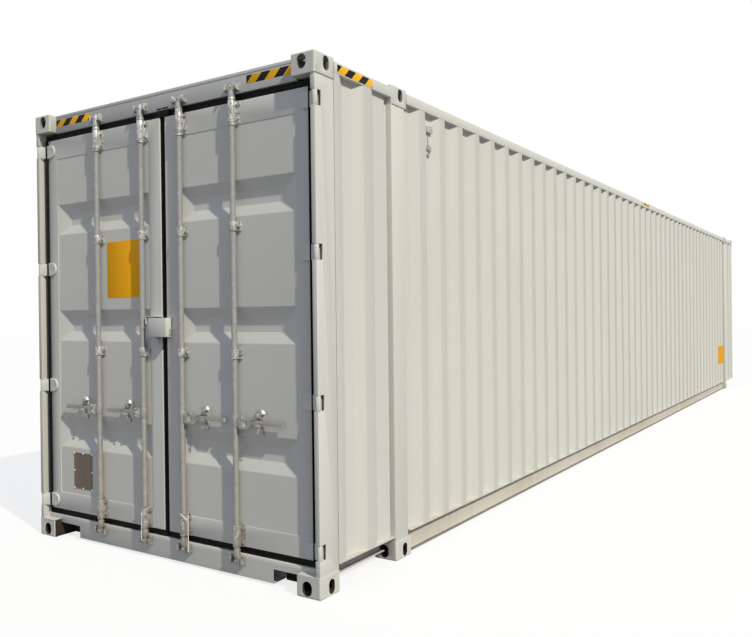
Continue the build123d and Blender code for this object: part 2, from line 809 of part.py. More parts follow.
def door_hinges(s):
    """Bent blades with rounded ends and bored knuckles."""
    face = door_plane - hinge_axis_from_end
    knuckle = hinge_knuckle_radius
    flat_start = hinge_x - leaf_side
    end = flat_start + hinge_blade_reach
    blade = [
        (-flat_start, face - hinge_blade),
        (-end, face - hinge_blade),
        (-end, face),
        (-flat_start, face),
        (-knuckle * 0.2, knuckle * 0.5),
        (-knuckle * 0.6, -knuckle * 0.75),
    ]
    with BuildPart() as hinges:
        for z in hinge_heights:
            with BuildSketch(Plane.XY.offset(z - hinge_blade_tall / 2)):
                face_of([(s * (hinge_x + x), hinge_y + y) for x, y in blade])
            extrude(amount=hinge_blade_tall)
        with BuildSketch(Plane.XZ.offset(-leaf_face)):
            for z in hinge_heights:
                tip = s * (hinge_x - end)
                round_centre = tip + s * hinge_blade_tall / 2
                with Locations((round_centre, z)):
                    Circle(hinge_blade_tall / 2)
                with Locations(((round_centre + s * side) / 2, z)):
                    Rectangle(abs(side - abs(round_centre)), hinge_blade_tall)
        extrude(amount=door_plane + 1, mode=Mode.INTERSECT)
        for z in hinge_heights:
            cut_x = (s * (leaf_side + 1), s * side)
            for end_way in (1, -1):
                cut_z = (z + end_way * hinge_tall / 2, z + end_way * hinge_blade_tall)
                box_between(cut_x, (door_end, leaf_face), cut_z, Mode.SUBTRACT)
            with Locations((s * hinge_x, hinge_y, z)):
                Cylinder(hinge_knuckle_radius, hinge_tall)
                Cylinder(hinge_pin_radius + hinge_pin_gap, hinge_tall + 1, mode=Mode.SUBTRACT)
    return hinges


def bracket_sketch(x, half_wide, seat):
    """Hat section that holds a rod against the leaf, drawn in plan round the rod at x.

    seat is the face that its plate lies on."""
    inner = rod_radius + rod_gap
    outer = inner + bracket_shell
    back = leaf_face - rod_y
    with Locations((x, rod_y)):
        Circle(outer)
    with Locations((x, rod_y + back / 2)):
        Rectangle(2 * outer, back)
    with Locations((x, (leaf_face - bracket_plate + seat) / 2)):
        Rectangle(2 * half_wide, seat - leaf_face + bracket_plate)
    with Locations((x, rod_y)):
        Circle(inner, mode=Mode.SUBTRACT)
    with Locations((x, rod_y + (back - bracket_plate) / 2)):
        Rectangle(2 * inner, back - bracket_plate, mode=Mode.SUBTRACT)
    overhang = outer + 1
    with Locations((x, seat + overhang / 2)):
        Rectangle(2 * overhang, overhang, mode=Mode.SUBTRACT)


def rod_brackets(s):
    """Long brackets at both ends of each rod and short ones between."""
    long_low = leaf_bottom
    long_high = leaf_top - long_bracket_tall
    with BuildPart() as brackets:
        for x in rod_positions:
            for low in (long_low, long_high):
                with BuildSketch(Plane.XY.offset(low)):
                    bracket_sketch(s * x, long_bracket_wide / 2, leaf_face)
                extrude(amount=long_bracket_tall)
            for middle in short_bracket_heights:
                with BuildSketch(Plane.XY.offset(middle - short_bracket_tall / 2)):
                    bracket_sketch(s * x, short_bracket_wide / 2, panel_face)
                extrude(amount=short_bracket_tall)
    return brackets


def handle_catches(s):
    """Plates with a seat under the handle and a raised cover above it."""
    handle_low = handle_height - handle_tall / 2
    handle_high = handle_height + handle_tall / 2
    reach = leaf_face - rod_y + handle_thick / 2
    with BuildPart() as catches:
        for x in rod_positions:
            mid = s * (x + catch_from_rod)
            x_range = (mid - catch_wide / 2, mid + catch_wide / 2)
            box_between(x_range, (leaf_face - catch_plate, panel_face),
                        (handle_height - catch_tall / 2, handle_height + catch_tall / 2))
            box_between(x_range, (leaf_face - reach, leaf_face - catch_plate),
                        (handle_low - catch_gap - catch_plate, handle_low - catch_gap))
            cover = (mid - catch_wide / 4, mid + catch_wide / 4)
            box_between(cover, (leaf_face - reach, leaf_face - catch_plate),
                        (handle_high + catch_gap, handle_high + catch_gap + catch_plate))
            lip = (leaf_face - reach - catch_plate, leaf_face - reach)
            box_between(cover, lip, (handle_high + catch_gap, handle_height + catch_tall / 2))
    return catches


def lock_box(s):
    """Half of the box that covers the padlock, open at its underside and at the leaf gap."""
    reach_x = lock_box_right if s > 0 else lock_box_left
    low = lock_box_height - lock_box_tall / 2
    high = lock_box_height + lock_box_tall / 2
    edge = leaves_gap / 2
    with BuildPart() as box:
        box_between((s * edge, s * reach_x), (leaf_face - lock_box_reach, leaf_face), (low, high))
        box_between((s * edge, s * (reach_x - lock_box_sheet)), (leaf_face - lock_box_reach + lock_box_sheet, leaf_face),
                    (low, high - lock_box_sheet), Mode.SUBTRACT)
    return box


for side_name, s in sides:
    for name, build in (
        ("door_frame", door_frame),
        ("door_panel", door_panel),
        ("door_gasket", door_gasket),
        ("door_hinges", door_hinges),
        ("rod_brackets", rod_brackets),
        ("handle_catches", handle_catches),
        ("lock_box", lock_box),
    ):
        piece = build(s)
        piece.part.label = f"{side_name}_{name}"
        export_step(piece.part, f"parts/{side_name}_{name}.step")


def locking_rod(s, x):
    """Rod with a collar and a one-sided cam at each end."""
    with BuildPart() as rod:
        with BuildSketch(Plane.XY.offset(rod_bottom)):
            with Locations((s * x, rod_y)):
                Circle(rod_radius)
        extrude(amount=rod_top - rod_bottom)
        low_cam = sill_top - cam_from_frame_edge - cam_tall
        high_cam = header_bottom + cam_from_frame_edge
        for cam_low, collar_low in ((low_cam, low_cam + cam_tall), (high_cam, high_cam - rod_collar_tall)):
            with BuildSketch(Plane.XY.offset(collar_low)):
                with Locations((s * x, rod_y)):
                    Circle(rod_collar_radius)
            extrude(amount=rod_collar_tall)
            with BuildSketch(Plane.XY.offset(cam_low)):
                with Locations((s * x, rod_y)):
                    Circle(cam_thick / 2)
                with Locations((s * (x + cam_reach / 2 - 2), rod_y)):
                    Rectangle(cam_reach - 4, cam_thick)
                with Locations((s * (x + cam_reach / 2), rod_y)):
                    Rectangle(cam_reach, cam_thick / 2)
            extrude(amount=cam_tall)
    return rod


def rod_handle(s, x):
    """Forged handle: a hub round the rod, a fork that tapers from it, and a flat bar with a round end."""
    with BuildPart() as handle:
        with BuildSketch(Plane.XY.offset(handle_height - handle_hub_tall / 2)):
            with Locations((s * x, rod_y)):
                Circle(handle_hub_radius)
        extrude(amount=handle_hub_tall)
        with BuildSketch(Plane.XZ.offset(-rod_y - handle_thick / 2)):
            bar_end = handle_long - handle_tall / 2
            outline = [
                (0, -handle_fork_tall / 2),
                (handle_fork_long, -handle_fork_tall / 2),
                (handle_fork_long + handle_taper, -handle_tall / 2),
                (bar_end, -handle_tall / 2),
                (bar_end, handle_tall / 2),
                (handle_fork_long + handle_taper, handle_tall / 2),
                (handle_fork_long, handle_fork_tall / 2),
                (0, handle_fork_tall / 2),
            ]
            face_of([(s * (x + along), handle_height + up) for along, up in outline])
            with Locations((s * (x + bar_end), handle_height)):
                Circle(handle_tall / 2)
        extrude(amount=handle_thick)
        with Locations((s * x, rod_y, handle_height)):
            Cylinder(rod_radius, handle_hub_tall + 1, mode=Mode.SUBTRACT)
    return handle


for side_name, s in sides:
    for rod_name, x in zip(("inner", "outer"), rod_positions):
        rod = locking_rod(s, x)
        rod.part.label = f"{side_name}_{rod_name}_rod"
        export_step(rod.part, f"parts/{side_name}_{rod_name}_rod.step")
        handle = rod_handle(s, x)
        handle.part.label = f"{side_name}_{rod_name}_handle"
        export_step(handle.part, f"parts/{side_name}_{rod_name}_handle.step")
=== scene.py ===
"""Looks of a long dry freight container: bent sheet walls, pressed doors, zinc-coated locking gear and paint."""
import json
import math
import bmesh
import bpy
from bpy.props import FloatProperty, FloatVectorProperty, PointerProperty
from mathutils import Matrix, Vector

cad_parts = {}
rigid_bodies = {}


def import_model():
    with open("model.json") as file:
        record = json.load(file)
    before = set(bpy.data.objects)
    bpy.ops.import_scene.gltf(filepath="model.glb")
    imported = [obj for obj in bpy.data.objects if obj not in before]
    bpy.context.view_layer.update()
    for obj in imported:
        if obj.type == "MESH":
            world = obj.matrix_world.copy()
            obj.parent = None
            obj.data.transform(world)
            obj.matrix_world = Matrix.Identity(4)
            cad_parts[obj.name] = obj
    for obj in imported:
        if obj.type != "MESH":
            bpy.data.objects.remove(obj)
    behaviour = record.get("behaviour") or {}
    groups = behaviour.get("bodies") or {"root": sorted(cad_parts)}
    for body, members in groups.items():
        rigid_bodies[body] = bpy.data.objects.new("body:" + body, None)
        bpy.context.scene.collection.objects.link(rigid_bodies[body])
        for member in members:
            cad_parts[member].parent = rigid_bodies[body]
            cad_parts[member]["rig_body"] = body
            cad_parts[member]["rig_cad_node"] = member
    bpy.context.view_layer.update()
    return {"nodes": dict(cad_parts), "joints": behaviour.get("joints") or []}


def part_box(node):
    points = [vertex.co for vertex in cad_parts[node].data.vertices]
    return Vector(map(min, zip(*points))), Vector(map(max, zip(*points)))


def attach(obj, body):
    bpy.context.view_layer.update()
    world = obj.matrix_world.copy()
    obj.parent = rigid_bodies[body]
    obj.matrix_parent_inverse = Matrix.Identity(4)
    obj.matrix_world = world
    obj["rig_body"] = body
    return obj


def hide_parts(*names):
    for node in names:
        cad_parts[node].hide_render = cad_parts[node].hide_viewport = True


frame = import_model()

bl_info = {
    "name": "Freight Container Finish",
    "version": (1, 0, 0),
    "blender": (4, 5, 0),
    "location": "3D View > Sidebar > Container",
    "description": "Builds the visible surfaces of a dry freight container over its solid parts",
    "category": "Object",
}

# Places read from the solid parts, in metres
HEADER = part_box("door_header")
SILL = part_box("door_sill")
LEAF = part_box("right_door_frame")
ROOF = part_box("roof_panel")
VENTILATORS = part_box("ventilators")
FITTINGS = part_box("rear_corner_fittings")
MIDDLE_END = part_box("middle_top_fittings")[1].y
RAIL_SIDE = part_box("top_rails")[1].x
DOOR_END = FITTINGS[0].y
SIDE = FITTINGS[1].x
HEIGHT = FITTINGS[1].z
LEAF_FACE = LEAF[0].y
PANEL_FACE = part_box("right_door_panel")[0].y
ROD_Y = frame["joints"][2]["pos_m"][1]
RODS = {"inner": frame["joints"][2]["pos_m"][0], "outer": frame["joints"][3]["pos_m"][0]}
SIDES = (("right", 1), ("left", -1))
OUT = Vector((0, -1, 0))

# Door gear: lower edges or middles of the brackets and keepers, and places of the handles, catches and hinges
ROD_RADIUS = 0.017
BRACKET_FACE = LEAF_FACE - 0.005
LONG_TALL = 0.128
LONG_BRACKETS = (LEAF[0].z, LEAF[1].z - LONG_TALL)
SHORT_BRACKETS = (1.285, 2.012)
KEEPERS = (0.110, 2.805)
HANDLE_Z = 0.905
CATCH_X = 0.170
HINGES = (0.246, 1.038, 1.838, 2.650)

# One cast fitting's width, length and height, and the inner and outer planes of the fittings along Y
FITTING = (0.162, 0.178, 0.118)
FITTING_ENDS = [(outer - FITTING[1], outer) for outer in (-DOOR_END, 6.096)]
ON_PLANE = 0.0002
SKIN = 0.0045

# The roof's ribs: pitch, flat top, slope of their long sides, distance from the rails and slope of their ends
RIB_PITCH = 0.209
RIB_TALL = 0.020
RIB_FLAT = 0.095
RIB_SLOPE = 0.0135
RIB_FROM_RAIL = 0.038
RIB_END_SLOPE = 0.030
RIB_CLEAR = 0.060

# The pressed troughs of the door sheets
TROUGH_PITCH = 0.725
TROUGH_TALL = 0.208
TROUGH_SLOPE = 0.064
TROUGH_END = 0.100
TROUGH_MARGIN = 0.004

# Camera of the photograph: place, axes and lens
CAMERA_PLACE = (3.67628, -10.07329, 1.50627)
CAMERA_RIGHT = Vector((0.83825, 0.54510, -0.01131))
CAMERA_UP = Vector((0.00617, 0.01126, 0.99988))
CAMERA_LENS = 36.95
TO_SUN = Vector((0.711, -0.222, 0.667))


# Object and mesh helpers

def activate(piece):
    """Select one object alone and make it the active one."""
    bpy.ops.object.select_all(action="DESELECT")
    piece.select_set(True)
    bpy.context.view_layer.objects.active = piece


def named(name):
    """Name the active object and its mesh, settle its place into the mesh and return it."""
    piece = bpy.context.active_object
    bpy.ops.object.transform_apply(location=True, rotation=True, scale=True)
    piece.name = name
    piece.data.name = name
    return piece


def object_mode():
    bpy.ops.object.mode_set(mode="OBJECT")


def edit_all(piece):
    """Enter edit mode with the whole mesh selected."""
    activate(piece)
    bpy.ops.object.mode_set(mode="EDIT")
    bpy.ops.mesh.select_all(action="SELECT")


def across(way, near, far):
    """Give two distances from the middle as a rising pair of X values on one side."""
    return sorted((way * near, way * far))


def start_box(name, low, high):
    """Start a piece as a box between two corners."""
    bpy.ops.object.select_all(action="DESELECT")
    low, high = Vector(low), Vector(high)
    bpy.ops.mesh.primitive_cube_add(size=1, location=(low + high) / 2, scale=[abs(v) for v in (high - low)])
    return named(name)


def start_sheet(name, centre, size, upright=False):
    """Start a piece as a flat rectangle, level or upright across the container."""
    bpy.ops.object.select_all(action="DESELECT")
    bpy.ops.mesh.primitive_plane_add(size=1, location=centre, rotation=(math.pi / 2 if upright else 0, 0, 0))
    bpy.ops.transform.resize(value=size)
    return named(name)


def start_rod(low, high, radius, sides=24):
    """Start a piece as a round bar between two points."""
    bpy.ops.object.select_all(action="DESELECT")
    low, high = Vector(low), Vector(high)
    along = high - low
    turn = along.to_track_quat("Z", "Y").to_euler()
    bpy.ops.mesh.primitive_cylinder_add(
        vertices=sides, radius=radius, depth=along.length, location=(low + high) / 2, rotation=turn)
    return named("rod")


def pick(piece, kind, test):
    """In edit mode, select only the verts, edges or faces of which test(centre, normal or direction) is true."""
    activate(piece)
    bpy.ops.object.mode_set(mode="EDIT")
    bpy.ops.mesh.select_mode(type=kind[:-1].upper())
    bpy.ops.mesh.select_all(action="DESELECT")
    mesh = bmesh.from_edit_mesh(piece.data)
    for item in getattr(mesh, kind):
        if kind == "edges":
            start, end = (corner.co for corner in item.verts)
            chosen = test((start + end) / 2, (end - start).normalized())
        else:
            chosen = test(item.co if kind == "verts" else item.calc_center_median(), item.normal)
        if chosen:
            item.select_set(True)
    bmesh.update_edit_mesh(piece.data)


def extrude(piece, kind, test, move):
    """Extrude the picked faces or edges by a vector and leave what is new selected."""
    pick(piece, kind, test)
    if kind == "faces":
        bpy.ops.mesh.extrude_region_move(TRANSFORM_OT_translate={"value": move})
    else:
        bpy.ops.mesh.extrude_edges_move(TRANSFORM_OT_translate={"value": move})


def press_face(piece, centre, move, scale):
    """Push the face round a point out by a vector and scale its flat about that point."""
    extrude(piece, "faces", lambda place, _: (place - centre).length < 0.02, move)
    bpy.ops.transform.resize(value=scale, center_override=centre)
    object_mode()


def shift(piece, test, move):
    """Move the picked faces by a vector."""
    pick(piece, "faces", test)
    bpy.ops.transform.translate(value=move)
    object_mode()


def squeeze(piece, test, scale, centre, kind="faces"):
    """Scale the picked faces or corners about a point."""
    pick(piece, kind, test)
    bpy.ops.transform.resize(value=scale, center_override=centre)
    object_mode()


def bevel(piece, test, width, segments):
    """Round the picked edges."""
    pick(piece, "edges", test)
    bpy.ops.mesh.bevel(offset=width, segments=segments, affect="EDGES")
    object_mode()


def cut(piece, axis, place):
    """Cut the faces of a piece along a plane across one axis."""
    edit_all(piece)
    normal = Vector([float(index == axis) for index in range(3)])
    bpy.ops.mesh.bisect(plane_co=normal * place, plane_no=normal)
    object_mode()


def apply_modifier(piece, kind, **settings):
    """Add a modifier with these settings and apply it."""
    activate(piece)
    modifier = piece.modifiers.new("work", kind)
    for key, value in settings.items():
        setattr(modifier, key, value)
    bpy.ops.object.modifier_apply(modifier=modifier.name)


def round_edges(piece, width, segments=2, angle=30):
    """Round the edges that turn by more than an angle in degrees."""
    apply_modifier(piece, "BEVEL", width=width, segments=segments, limit_method="ANGLE",
                   angle_limit=math.radians(angle))


def smooth(piece, angle=35):
    """Shade smooth up to an angle in degrees."""
    activate(piece)
    bpy.ops.object.shade_smooth_by_angle(angle=math.radians(angle))


def thicken(piece, bend, segments, angle):
    """Round a sheet's bends, then give it its thickness."""
    round_edges(piece, bend, segments, angle)
    apply_modifier(piece, "SOLIDIFY", thickness=bpy.context.scene.container_sizes.sheet, offset=-1.0)
    smooth(piece, 40)
    return piece


def clean(piece):
    """Merge doubles and turn every face outwards."""
    edit_all(piece)
    bpy.ops.mesh.remove_doubles(threshold=0.00001)
    bpy.ops.mesh.normals_make_consistent(inside=False)
    object_mode()


def copy_of(node, ending="_finish"):
    """Duplicate a solid part's mesh, merge its loose triangles and clear its stored normals."""
    activate(frame["nodes"][node])
    bpy.ops.object.duplicate()
    piece = bpy.context.active_object
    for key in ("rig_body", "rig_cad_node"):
        if key in piece:
            del piece[key]
    piece.parent = None
    piece.name = node + ending
    piece.data.name = node + ending
    edit_all(piece)
    bpy.ops.mesh.remove_doubles(threshold=0.00001)
    bpy.ops.mesh.dissolve_limited(angle_limit=math.radians(0.5))
    object_mode()
    if piece.data.has_custom_normals:
        bpy.ops.mesh.customdata_custom_splitnormals_clear()
    return piece


def join(name, pieces):
    """Join several objects into one that is named."""
    bpy.ops.object.select_all(action="DESELECT")
    for piece in pieces:
        piece.select_set(True)
    bpy.context.view_layer.objects.active = pieces[0]
    if len(pieces) > 1:
        bpy.ops.object.join()
    pieces[0].name = name
    pieces[0].data.name = name
    return pieces[0]


def delete(piece):
    activate(piece)
    bpy.ops.object.delete()


def repeat(name, master, moves):
    """Copy one finished shape by each move, each copy with its own mesh, and join the copies."""
    copies = []
    for move in moves:
        activate(master)
        bpy.ops.object.duplicate()
        bpy.ops.transform.translate(value=move)
        copies.append(named(name))
    return join(name, copies)


def fit_out(piece, body, look, *stands_for, width=None, segments=2, angle=30, shade=35):
    """Round a piece if a width is given, then give it its look, body and slot, and hide the solid parts it stands for.
    """
    if width:
        round_edges(piece, width, segments, angle)
        smooth(piece, shade)
    piece.data.materials.clear()
    piece.data.materials.append(material(look))
    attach(piece, body)
    if stands_for:
        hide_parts(*stands_for)


def soften(node, look, width):
    """Stand a copy with rounded edges in place of a solid part."""
    fit_out(copy_of(node), frame["nodes"][node]["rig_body"], look, node, width=width)


def paint_faces(piece, look, test):
    """Give the picked faces a second look."""
    piece.data.materials.append(material(look))
    pick(piece, "faces", test)
    piece.active_material_index = len(piece.data.materials) - 1
    bpy.ops.object.material_slot_assign()
    object_mode()


def hexagon(base, width):
    """Model a bevelled hexagon head on its washer, from its base outwards."""
    base, tall = Vector(base), 0.008
    head = start_rod(base, base + OUT * tall, width * 0.577, 6)
    round_edges(head, width * 0.09, 2, 50)
    washer = start_rod(base, base + OUT * tall * 0.25, width * 0.8, 20)
    round_edges(washer, tall * 0.07, 1, 50)
    piece = join("bolt", [head, washer])
    smooth(piece, 30)
    return piece


def dome(base, facing, radius, tall):
    """Model a low round head, such as a rivet, by shrinking the outer end of a short bar."""
    base, facing = Vector(base), Vector(facing)
    head = start_rod(base, base + facing * tall, radius, 16)
    squeeze(head, lambda _, normal: normal.dot(facing) > 0.9, (0.8, 0.8, 0.8), base + facing * tall)
    round_edges(head, tall * 0.35, 2, 25)
    smooth(head, 60)
    return head


def ring(low, high, radius, bore, width):
    """Model a ring with rounded rims: a short bar whose ends are inset and bridged into a bore."""
    along = (Vector(high) - Vector(low)).normalized()
    piece = start_rod(low, high, radius, 32)
    pick(piece, "faces", lambda _, normal: abs(normal.dot(along)) > 0.9)
    bpy.ops.mesh.inset(thickness=radius - bore, use_even_offset=True)
    bpy.ops.mesh.bridge_edge_loops()
    object_mode()
    clean(piece)
    round_edges(piece, width, 2, 40)
    smooth(piece, 40)
    return piece


def plate(name, low, high, corner, width=0.0006):
    """Model a flat plate between two corners: its own corners are rounded, then its rims."""
    piece = start_box(name, low, high)
    size = [abs(b - a) for a, b in zip(low, high)]
    thin = size.index(min(size))
    bevel(piece, lambda _, direction: abs(direction[thin]) > 0.9, corner, 3)
    round_edges(piece, width, 2, 50)
    smooth(piece, 40)
    return piece


def turn_about(piece, angle, axis, centre):
    """Turn a whole mesh in edit mode by an angle in degrees about one axis through a point."""
    edit_all(piece)
    bpy.ops.transform.rotate(value=math.radians(angle), orient_axis=axis, center_override=centre)
    object_mode()


def wire(points, radius):
    """Bend a thin rigid wire: one bar for each run, with a round joint at each turn."""
    parts = [start_rod(a, b, radius, 8) for a, b in zip(points, points[1:])]
    for point in points[1:-1]:
        bpy.ops.object.select_all(action="DESELECT")
        bpy.ops.mesh.primitive_uv_sphere_add(segments=8, ring_count=6, radius=radius, location=point)
        parts.append(named("turn"))
    piece = join("wire", parts)
    smooth(piece, 60)
    return piece


# Material helpers

def feed(tree, socket, value):
    """Link an output to a socket, or set the socket's value; a colour is given as three numbers."""
    if isinstance(value, bpy.types.NodeSocket):
        tree.links.new(value, socket)
    else:
        socket.default_value = (*value, 1) if socket.type == "RGBA" else value


def add_node(tree, kind, inputs=(), **settings):
    """Add a shader node with its settings, feed its inputs and place it to the right of what feeds it."""
    node = tree.nodes.new("ShaderNode" + kind)
    for key, value in settings.items():
        setattr(node, key, value)
    inputs = dict(inputs)
    for key, value in inputs.items():
        feed(tree, node.inputs[key], value)
    sources = [value.node.location.x for value in inputs.values() if isinstance(value, bpy.types.NodeSocket)]
    column = max(sources, default=-1800) + 200
    row = sum(other.location.x == column for other in tree.nodes)
    node.location = (column, -220 * row)
    return node


def calc(tree, operation, *values, clamp=False):
    return add_node(tree, "Math", enumerate(values), operation=operation, use_clamp=clamp).outputs[0]


def mix(tree, factor, first, second, blend="MIX"):
    """Blend two colours; the mix node's colour sockets are inputs 6 and 7 and output 2."""
    inputs = {"Factor": factor, 6: first, 7: second}
    return add_node(tree, "Mix", inputs, data_type="RGBA", blend_type=blend).outputs[2]


def ramp(tree, value, low, high, to_low=0.0, to_high=1.0):
    inputs = {"Value": value, "From Min": low, "From Max": high, "To Min": to_low, "To Max": to_high}
    return add_node(tree, "MapRange", inputs).outputs["Result"]


def noise(tree, vector, scale, detail, roughness=0.5, distortion=0.0):
    inputs = {"Vector": vector, "Scale": scale, "Detail": detail, "Roughness": roughness, "Distortion": distortion}
    return add_node(tree, "TexNoise", inputs).outputs["Fac"]


def stretch(tree, vector, scale):
    return add_node(tree, "Mapping", {"Vector": vector, "Scale": scale}).outputs["Vector"]


def axes_of(tree, vector):
    return add_node(tree, "SeparateXYZ", {"Vector": vector}).outputs


def set_shader(tree, relief, **inputs):
    """Feed the main shader; relief is the height, strength and distance of a bump, or None."""
    shader = tree.nodes["Principled BSDF"]
    if relief:
        bump = add_node(tree, "Bump", zip(("Height", "Strength", "Distance"), relief))
        feed(tree, shader.inputs["Normal"], bump.outputs["Normal"])
    for key, value in inputs.items():
        socket = {"Colour": "Base Color", "Specular": "Specular IOR Level"}.get(key, key)
        feed(tree, shader.inputs[socket], value)
    return shader


def new_material(name):
    made = bpy.data.materials.new(name)
    made.use_nodes = True
    return made, made.node_tree


def film_group():
    """Make the sprayed film's group once: tone drift, dust speckle, streaks down the walls and a fine ripple."""
    name = "Sprayed film"
    if name in bpy.data.node_groups:
        return bpy.data.node_groups[name]
    tree = bpy.data.node_groups.new(name, "ShaderNodeTree")
    inputs = {"Vector": "Vector", "Film": "Color", "Dust": "Color", "Dust amount": "Float", "Streaks": "Float",
              "Roughness": "Float"}
    for way, sockets in (("INPUT", inputs), ("OUTPUT", {"Color": "Color", "Roughness": "Float", "Height": "Float"})):
        for socket, kind in sockets.items():
            tree.interface.new_socket(name=socket, in_out=way, socket_type="NodeSocket" + kind)
    group_in = tree.nodes.new("NodeGroupInput")
    group_in.location.x = -1600
    place, film_colour, dust, amount, streaks, roughness = (group_in.outputs[socket] for socket in inputs)
    drift = ramp(tree, noise(tree, place, 1.3, 4.0, 0.6), 0.42, 0.72)
    streak = ramp(tree, noise(tree, stretch(tree, place, (9.0, 9.0, 0.55)), 2.0, 6.0, 0.6), 0.5, 0.78)
    speck = ramp(tree, noise(tree, place, 55.0, 3.0, 0.7), 0.52, 0.8)
    wash = calc(tree, "MULTIPLY", streak, streaks)
    cloud = calc(tree, "MULTIPLY", drift, amount)
    grit = calc(tree, "MULTIPLY", speck, amount)
    dirt = calc(tree, "ADD", calc(tree, "ADD", wash, cloud), grit, clamp=True)
    group_out = tree.nodes.new("NodeGroupOutput")
    group_out.location.x = 400
    feed(tree, group_out.inputs["Color"], mix(tree, dirt, film_colour, dust))
    feed(tree, group_out.inputs["Roughness"], calc(tree, "MULTIPLY_ADD", dirt, 0.3, roughness))
    wave = calc(tree, "MULTIPLY_ADD", noise(tree, place, 3.5, 1.0), 14.0, noise(tree, place, 160.0, 2.0))
    feed(tree, group_out.inputs["Height"], wave)
    return tree


def film(tree, place, colour, dust, amount, streaks, roughness, relief, metallic=0.0, specular=0.3, coat=None):
    """Coated metal from the sprayed film group, with a second layer of marks and painted shade where one is given."""
    inputs = {"Vector": place, "Film": colour, "Dust": dust, "Dust amount": amount, "Streaks": streaks,
              "Roughness": roughness}
    group = add_node(tree, "Group", inputs, node_tree=film_group()).outputs
    colour = coat(tree, axes_of(tree, place), group["Color"]) if coat else group["Color"]
    set_shader(tree, (group["Height"], relief, 0.0002), Colour=colour, Roughness=group["Roughness"],
               Metallic=metallic, Specular=specular)


def wall_crest_shade_and_patch(tree, axes, colour):
    """Paint shade on the side walls' crests, darker away from the doors, and paint a plain patch near the front end.
    """
    crest = ramp(tree, calc(tree, "ABSOLUTE", axes["X"]), 1.2125, 1.2165)
    far = ramp(tree, axes["Y"], -5.0, 2.0, 0.35, 1.0)
    # Painted shade: the crests are darkened by up to a quarter, most at the far end
    wear_and_shade = mix(tree, calc(tree, "MULTIPLY", crest, far), colour, (0.76, 0.76, 0.77), "MULTIPLY")
    along = calc(tree, "COMPARE", axes["Y"], 5.52, 0.22)
    up = calc(tree, "COMPARE", axes["Z"], 0.666, 0.167)
    patch = [v * 0.75 for v in bpy.context.scene.container_colours.orange]
    return mix(tree, calc(tree, "MULTIPLY", along, up), wear_and_shade, patch)


def rail_edge_shadow(tree, axes, colour):
    """Darken the bottom rails' lower edge with a painted shadow, for the shadow on the ground beneath them."""
    # Painted shadow: the rails below about two centimetres are darkened to a third
    edge = ramp(tree, axes["Z"], 0.019, 0.0215, 1.0, 0.0)
    return mix(tree, edge, colour, (0.33, 0.33, 0.32), "MULTIPLY")


def zinc(tree, place, bright, dark, ground_reflection, reflection_height, roughness):
    """Dull hot-dip zinc: soft spangle, pale bloom and a brownish painted reflection of the ground, mottled, that grows
    lower down.
    """
    spangle = add_node(tree, "TexVoronoi", {"Vector": place, "Scale": 140.0}).outputs["Distance"]
    bloom = noise(tree, place, 35.0, 4.0, 0.65)
    blend = calc(tree, "MULTIPLY_ADD", spangle, 0.35, bloom)
    tone = mix(tree, ramp(tree, blend, 0.38, 0.82), bright, dark)
    # Painted reflection: a mottled brownish tint for the ground, fading out above the given height
    low = ramp(tree, axes_of(tree, place)["Z"], reflection_height, 0.1)
    reflection = calc(tree, "MULTIPLY", low, noise(tree, place, 18.0, 5.0, 0.7))
    set_shader(tree, (blend, 0.25, 0.0003), Colour=mix(tree, reflection, tone, ground_reflection), Metallic=0.35,
               Roughness=ramp(tree, bloom, 0.0, 1.0, roughness, roughness + 0.2))


def rubber(tree, place, colour):
    """Matt extruded rubber with pale dust in its pores."""
    dust = ramp(tree, noise(tree, place, 22.0, 6.0, 0.7), 0.45, 0.8)
    set_shader(tree, (noise(tree, place, 400.0, 2.0), 0.3, 0.0004), Roughness=0.72, Specular=0.1,
               Colour=mix(tree, dust, colour, (0.020, 0.018, 0.018)))


def plywood(tree, place, light, dark):
    """Varnished hardwood veneer with its grain along the container."""
    grain = noise(tree, stretch(tree, place, (16.0, 1.1, 16.0)), 3.0, 8.0, 0.65, 0.6)
    set_shader(tree, (grain, 0.35, 0.0008), Colour=mix(tree, grain, light, dark),
               Roughness=ramp(tree, grain, 0.0, 1.0, 0.38, 0.7))


def stripes(tree, place, yellow, black, axis, period, start):
    """Slanted bars of two colours on a self-adhesive sheet; axis is the one they follow."""
    axes = axes_of(tree, place)
    slide = calc(tree, "SUBTRACT", calc(tree, "SUBTRACT", axes[axis], axes["Z"]), start)
    band = calc(tree, "GREATER_THAN", calc(tree, "FRACT", calc(tree, "DIVIDE", slide, period)), 0.5)
    wear = noise(tree, place, 40.0, 5.0)
    wear_and_shade = mix(tree, wear, yellow, [v * 0.82 for v in yellow])
    set_shader(tree, None, Colour=mix(tree, band, wear_and_shade, black), Specular=0.12,
               Roughness=ramp(tree, wear, 0.0, 1.0, 0.42, 0.6))


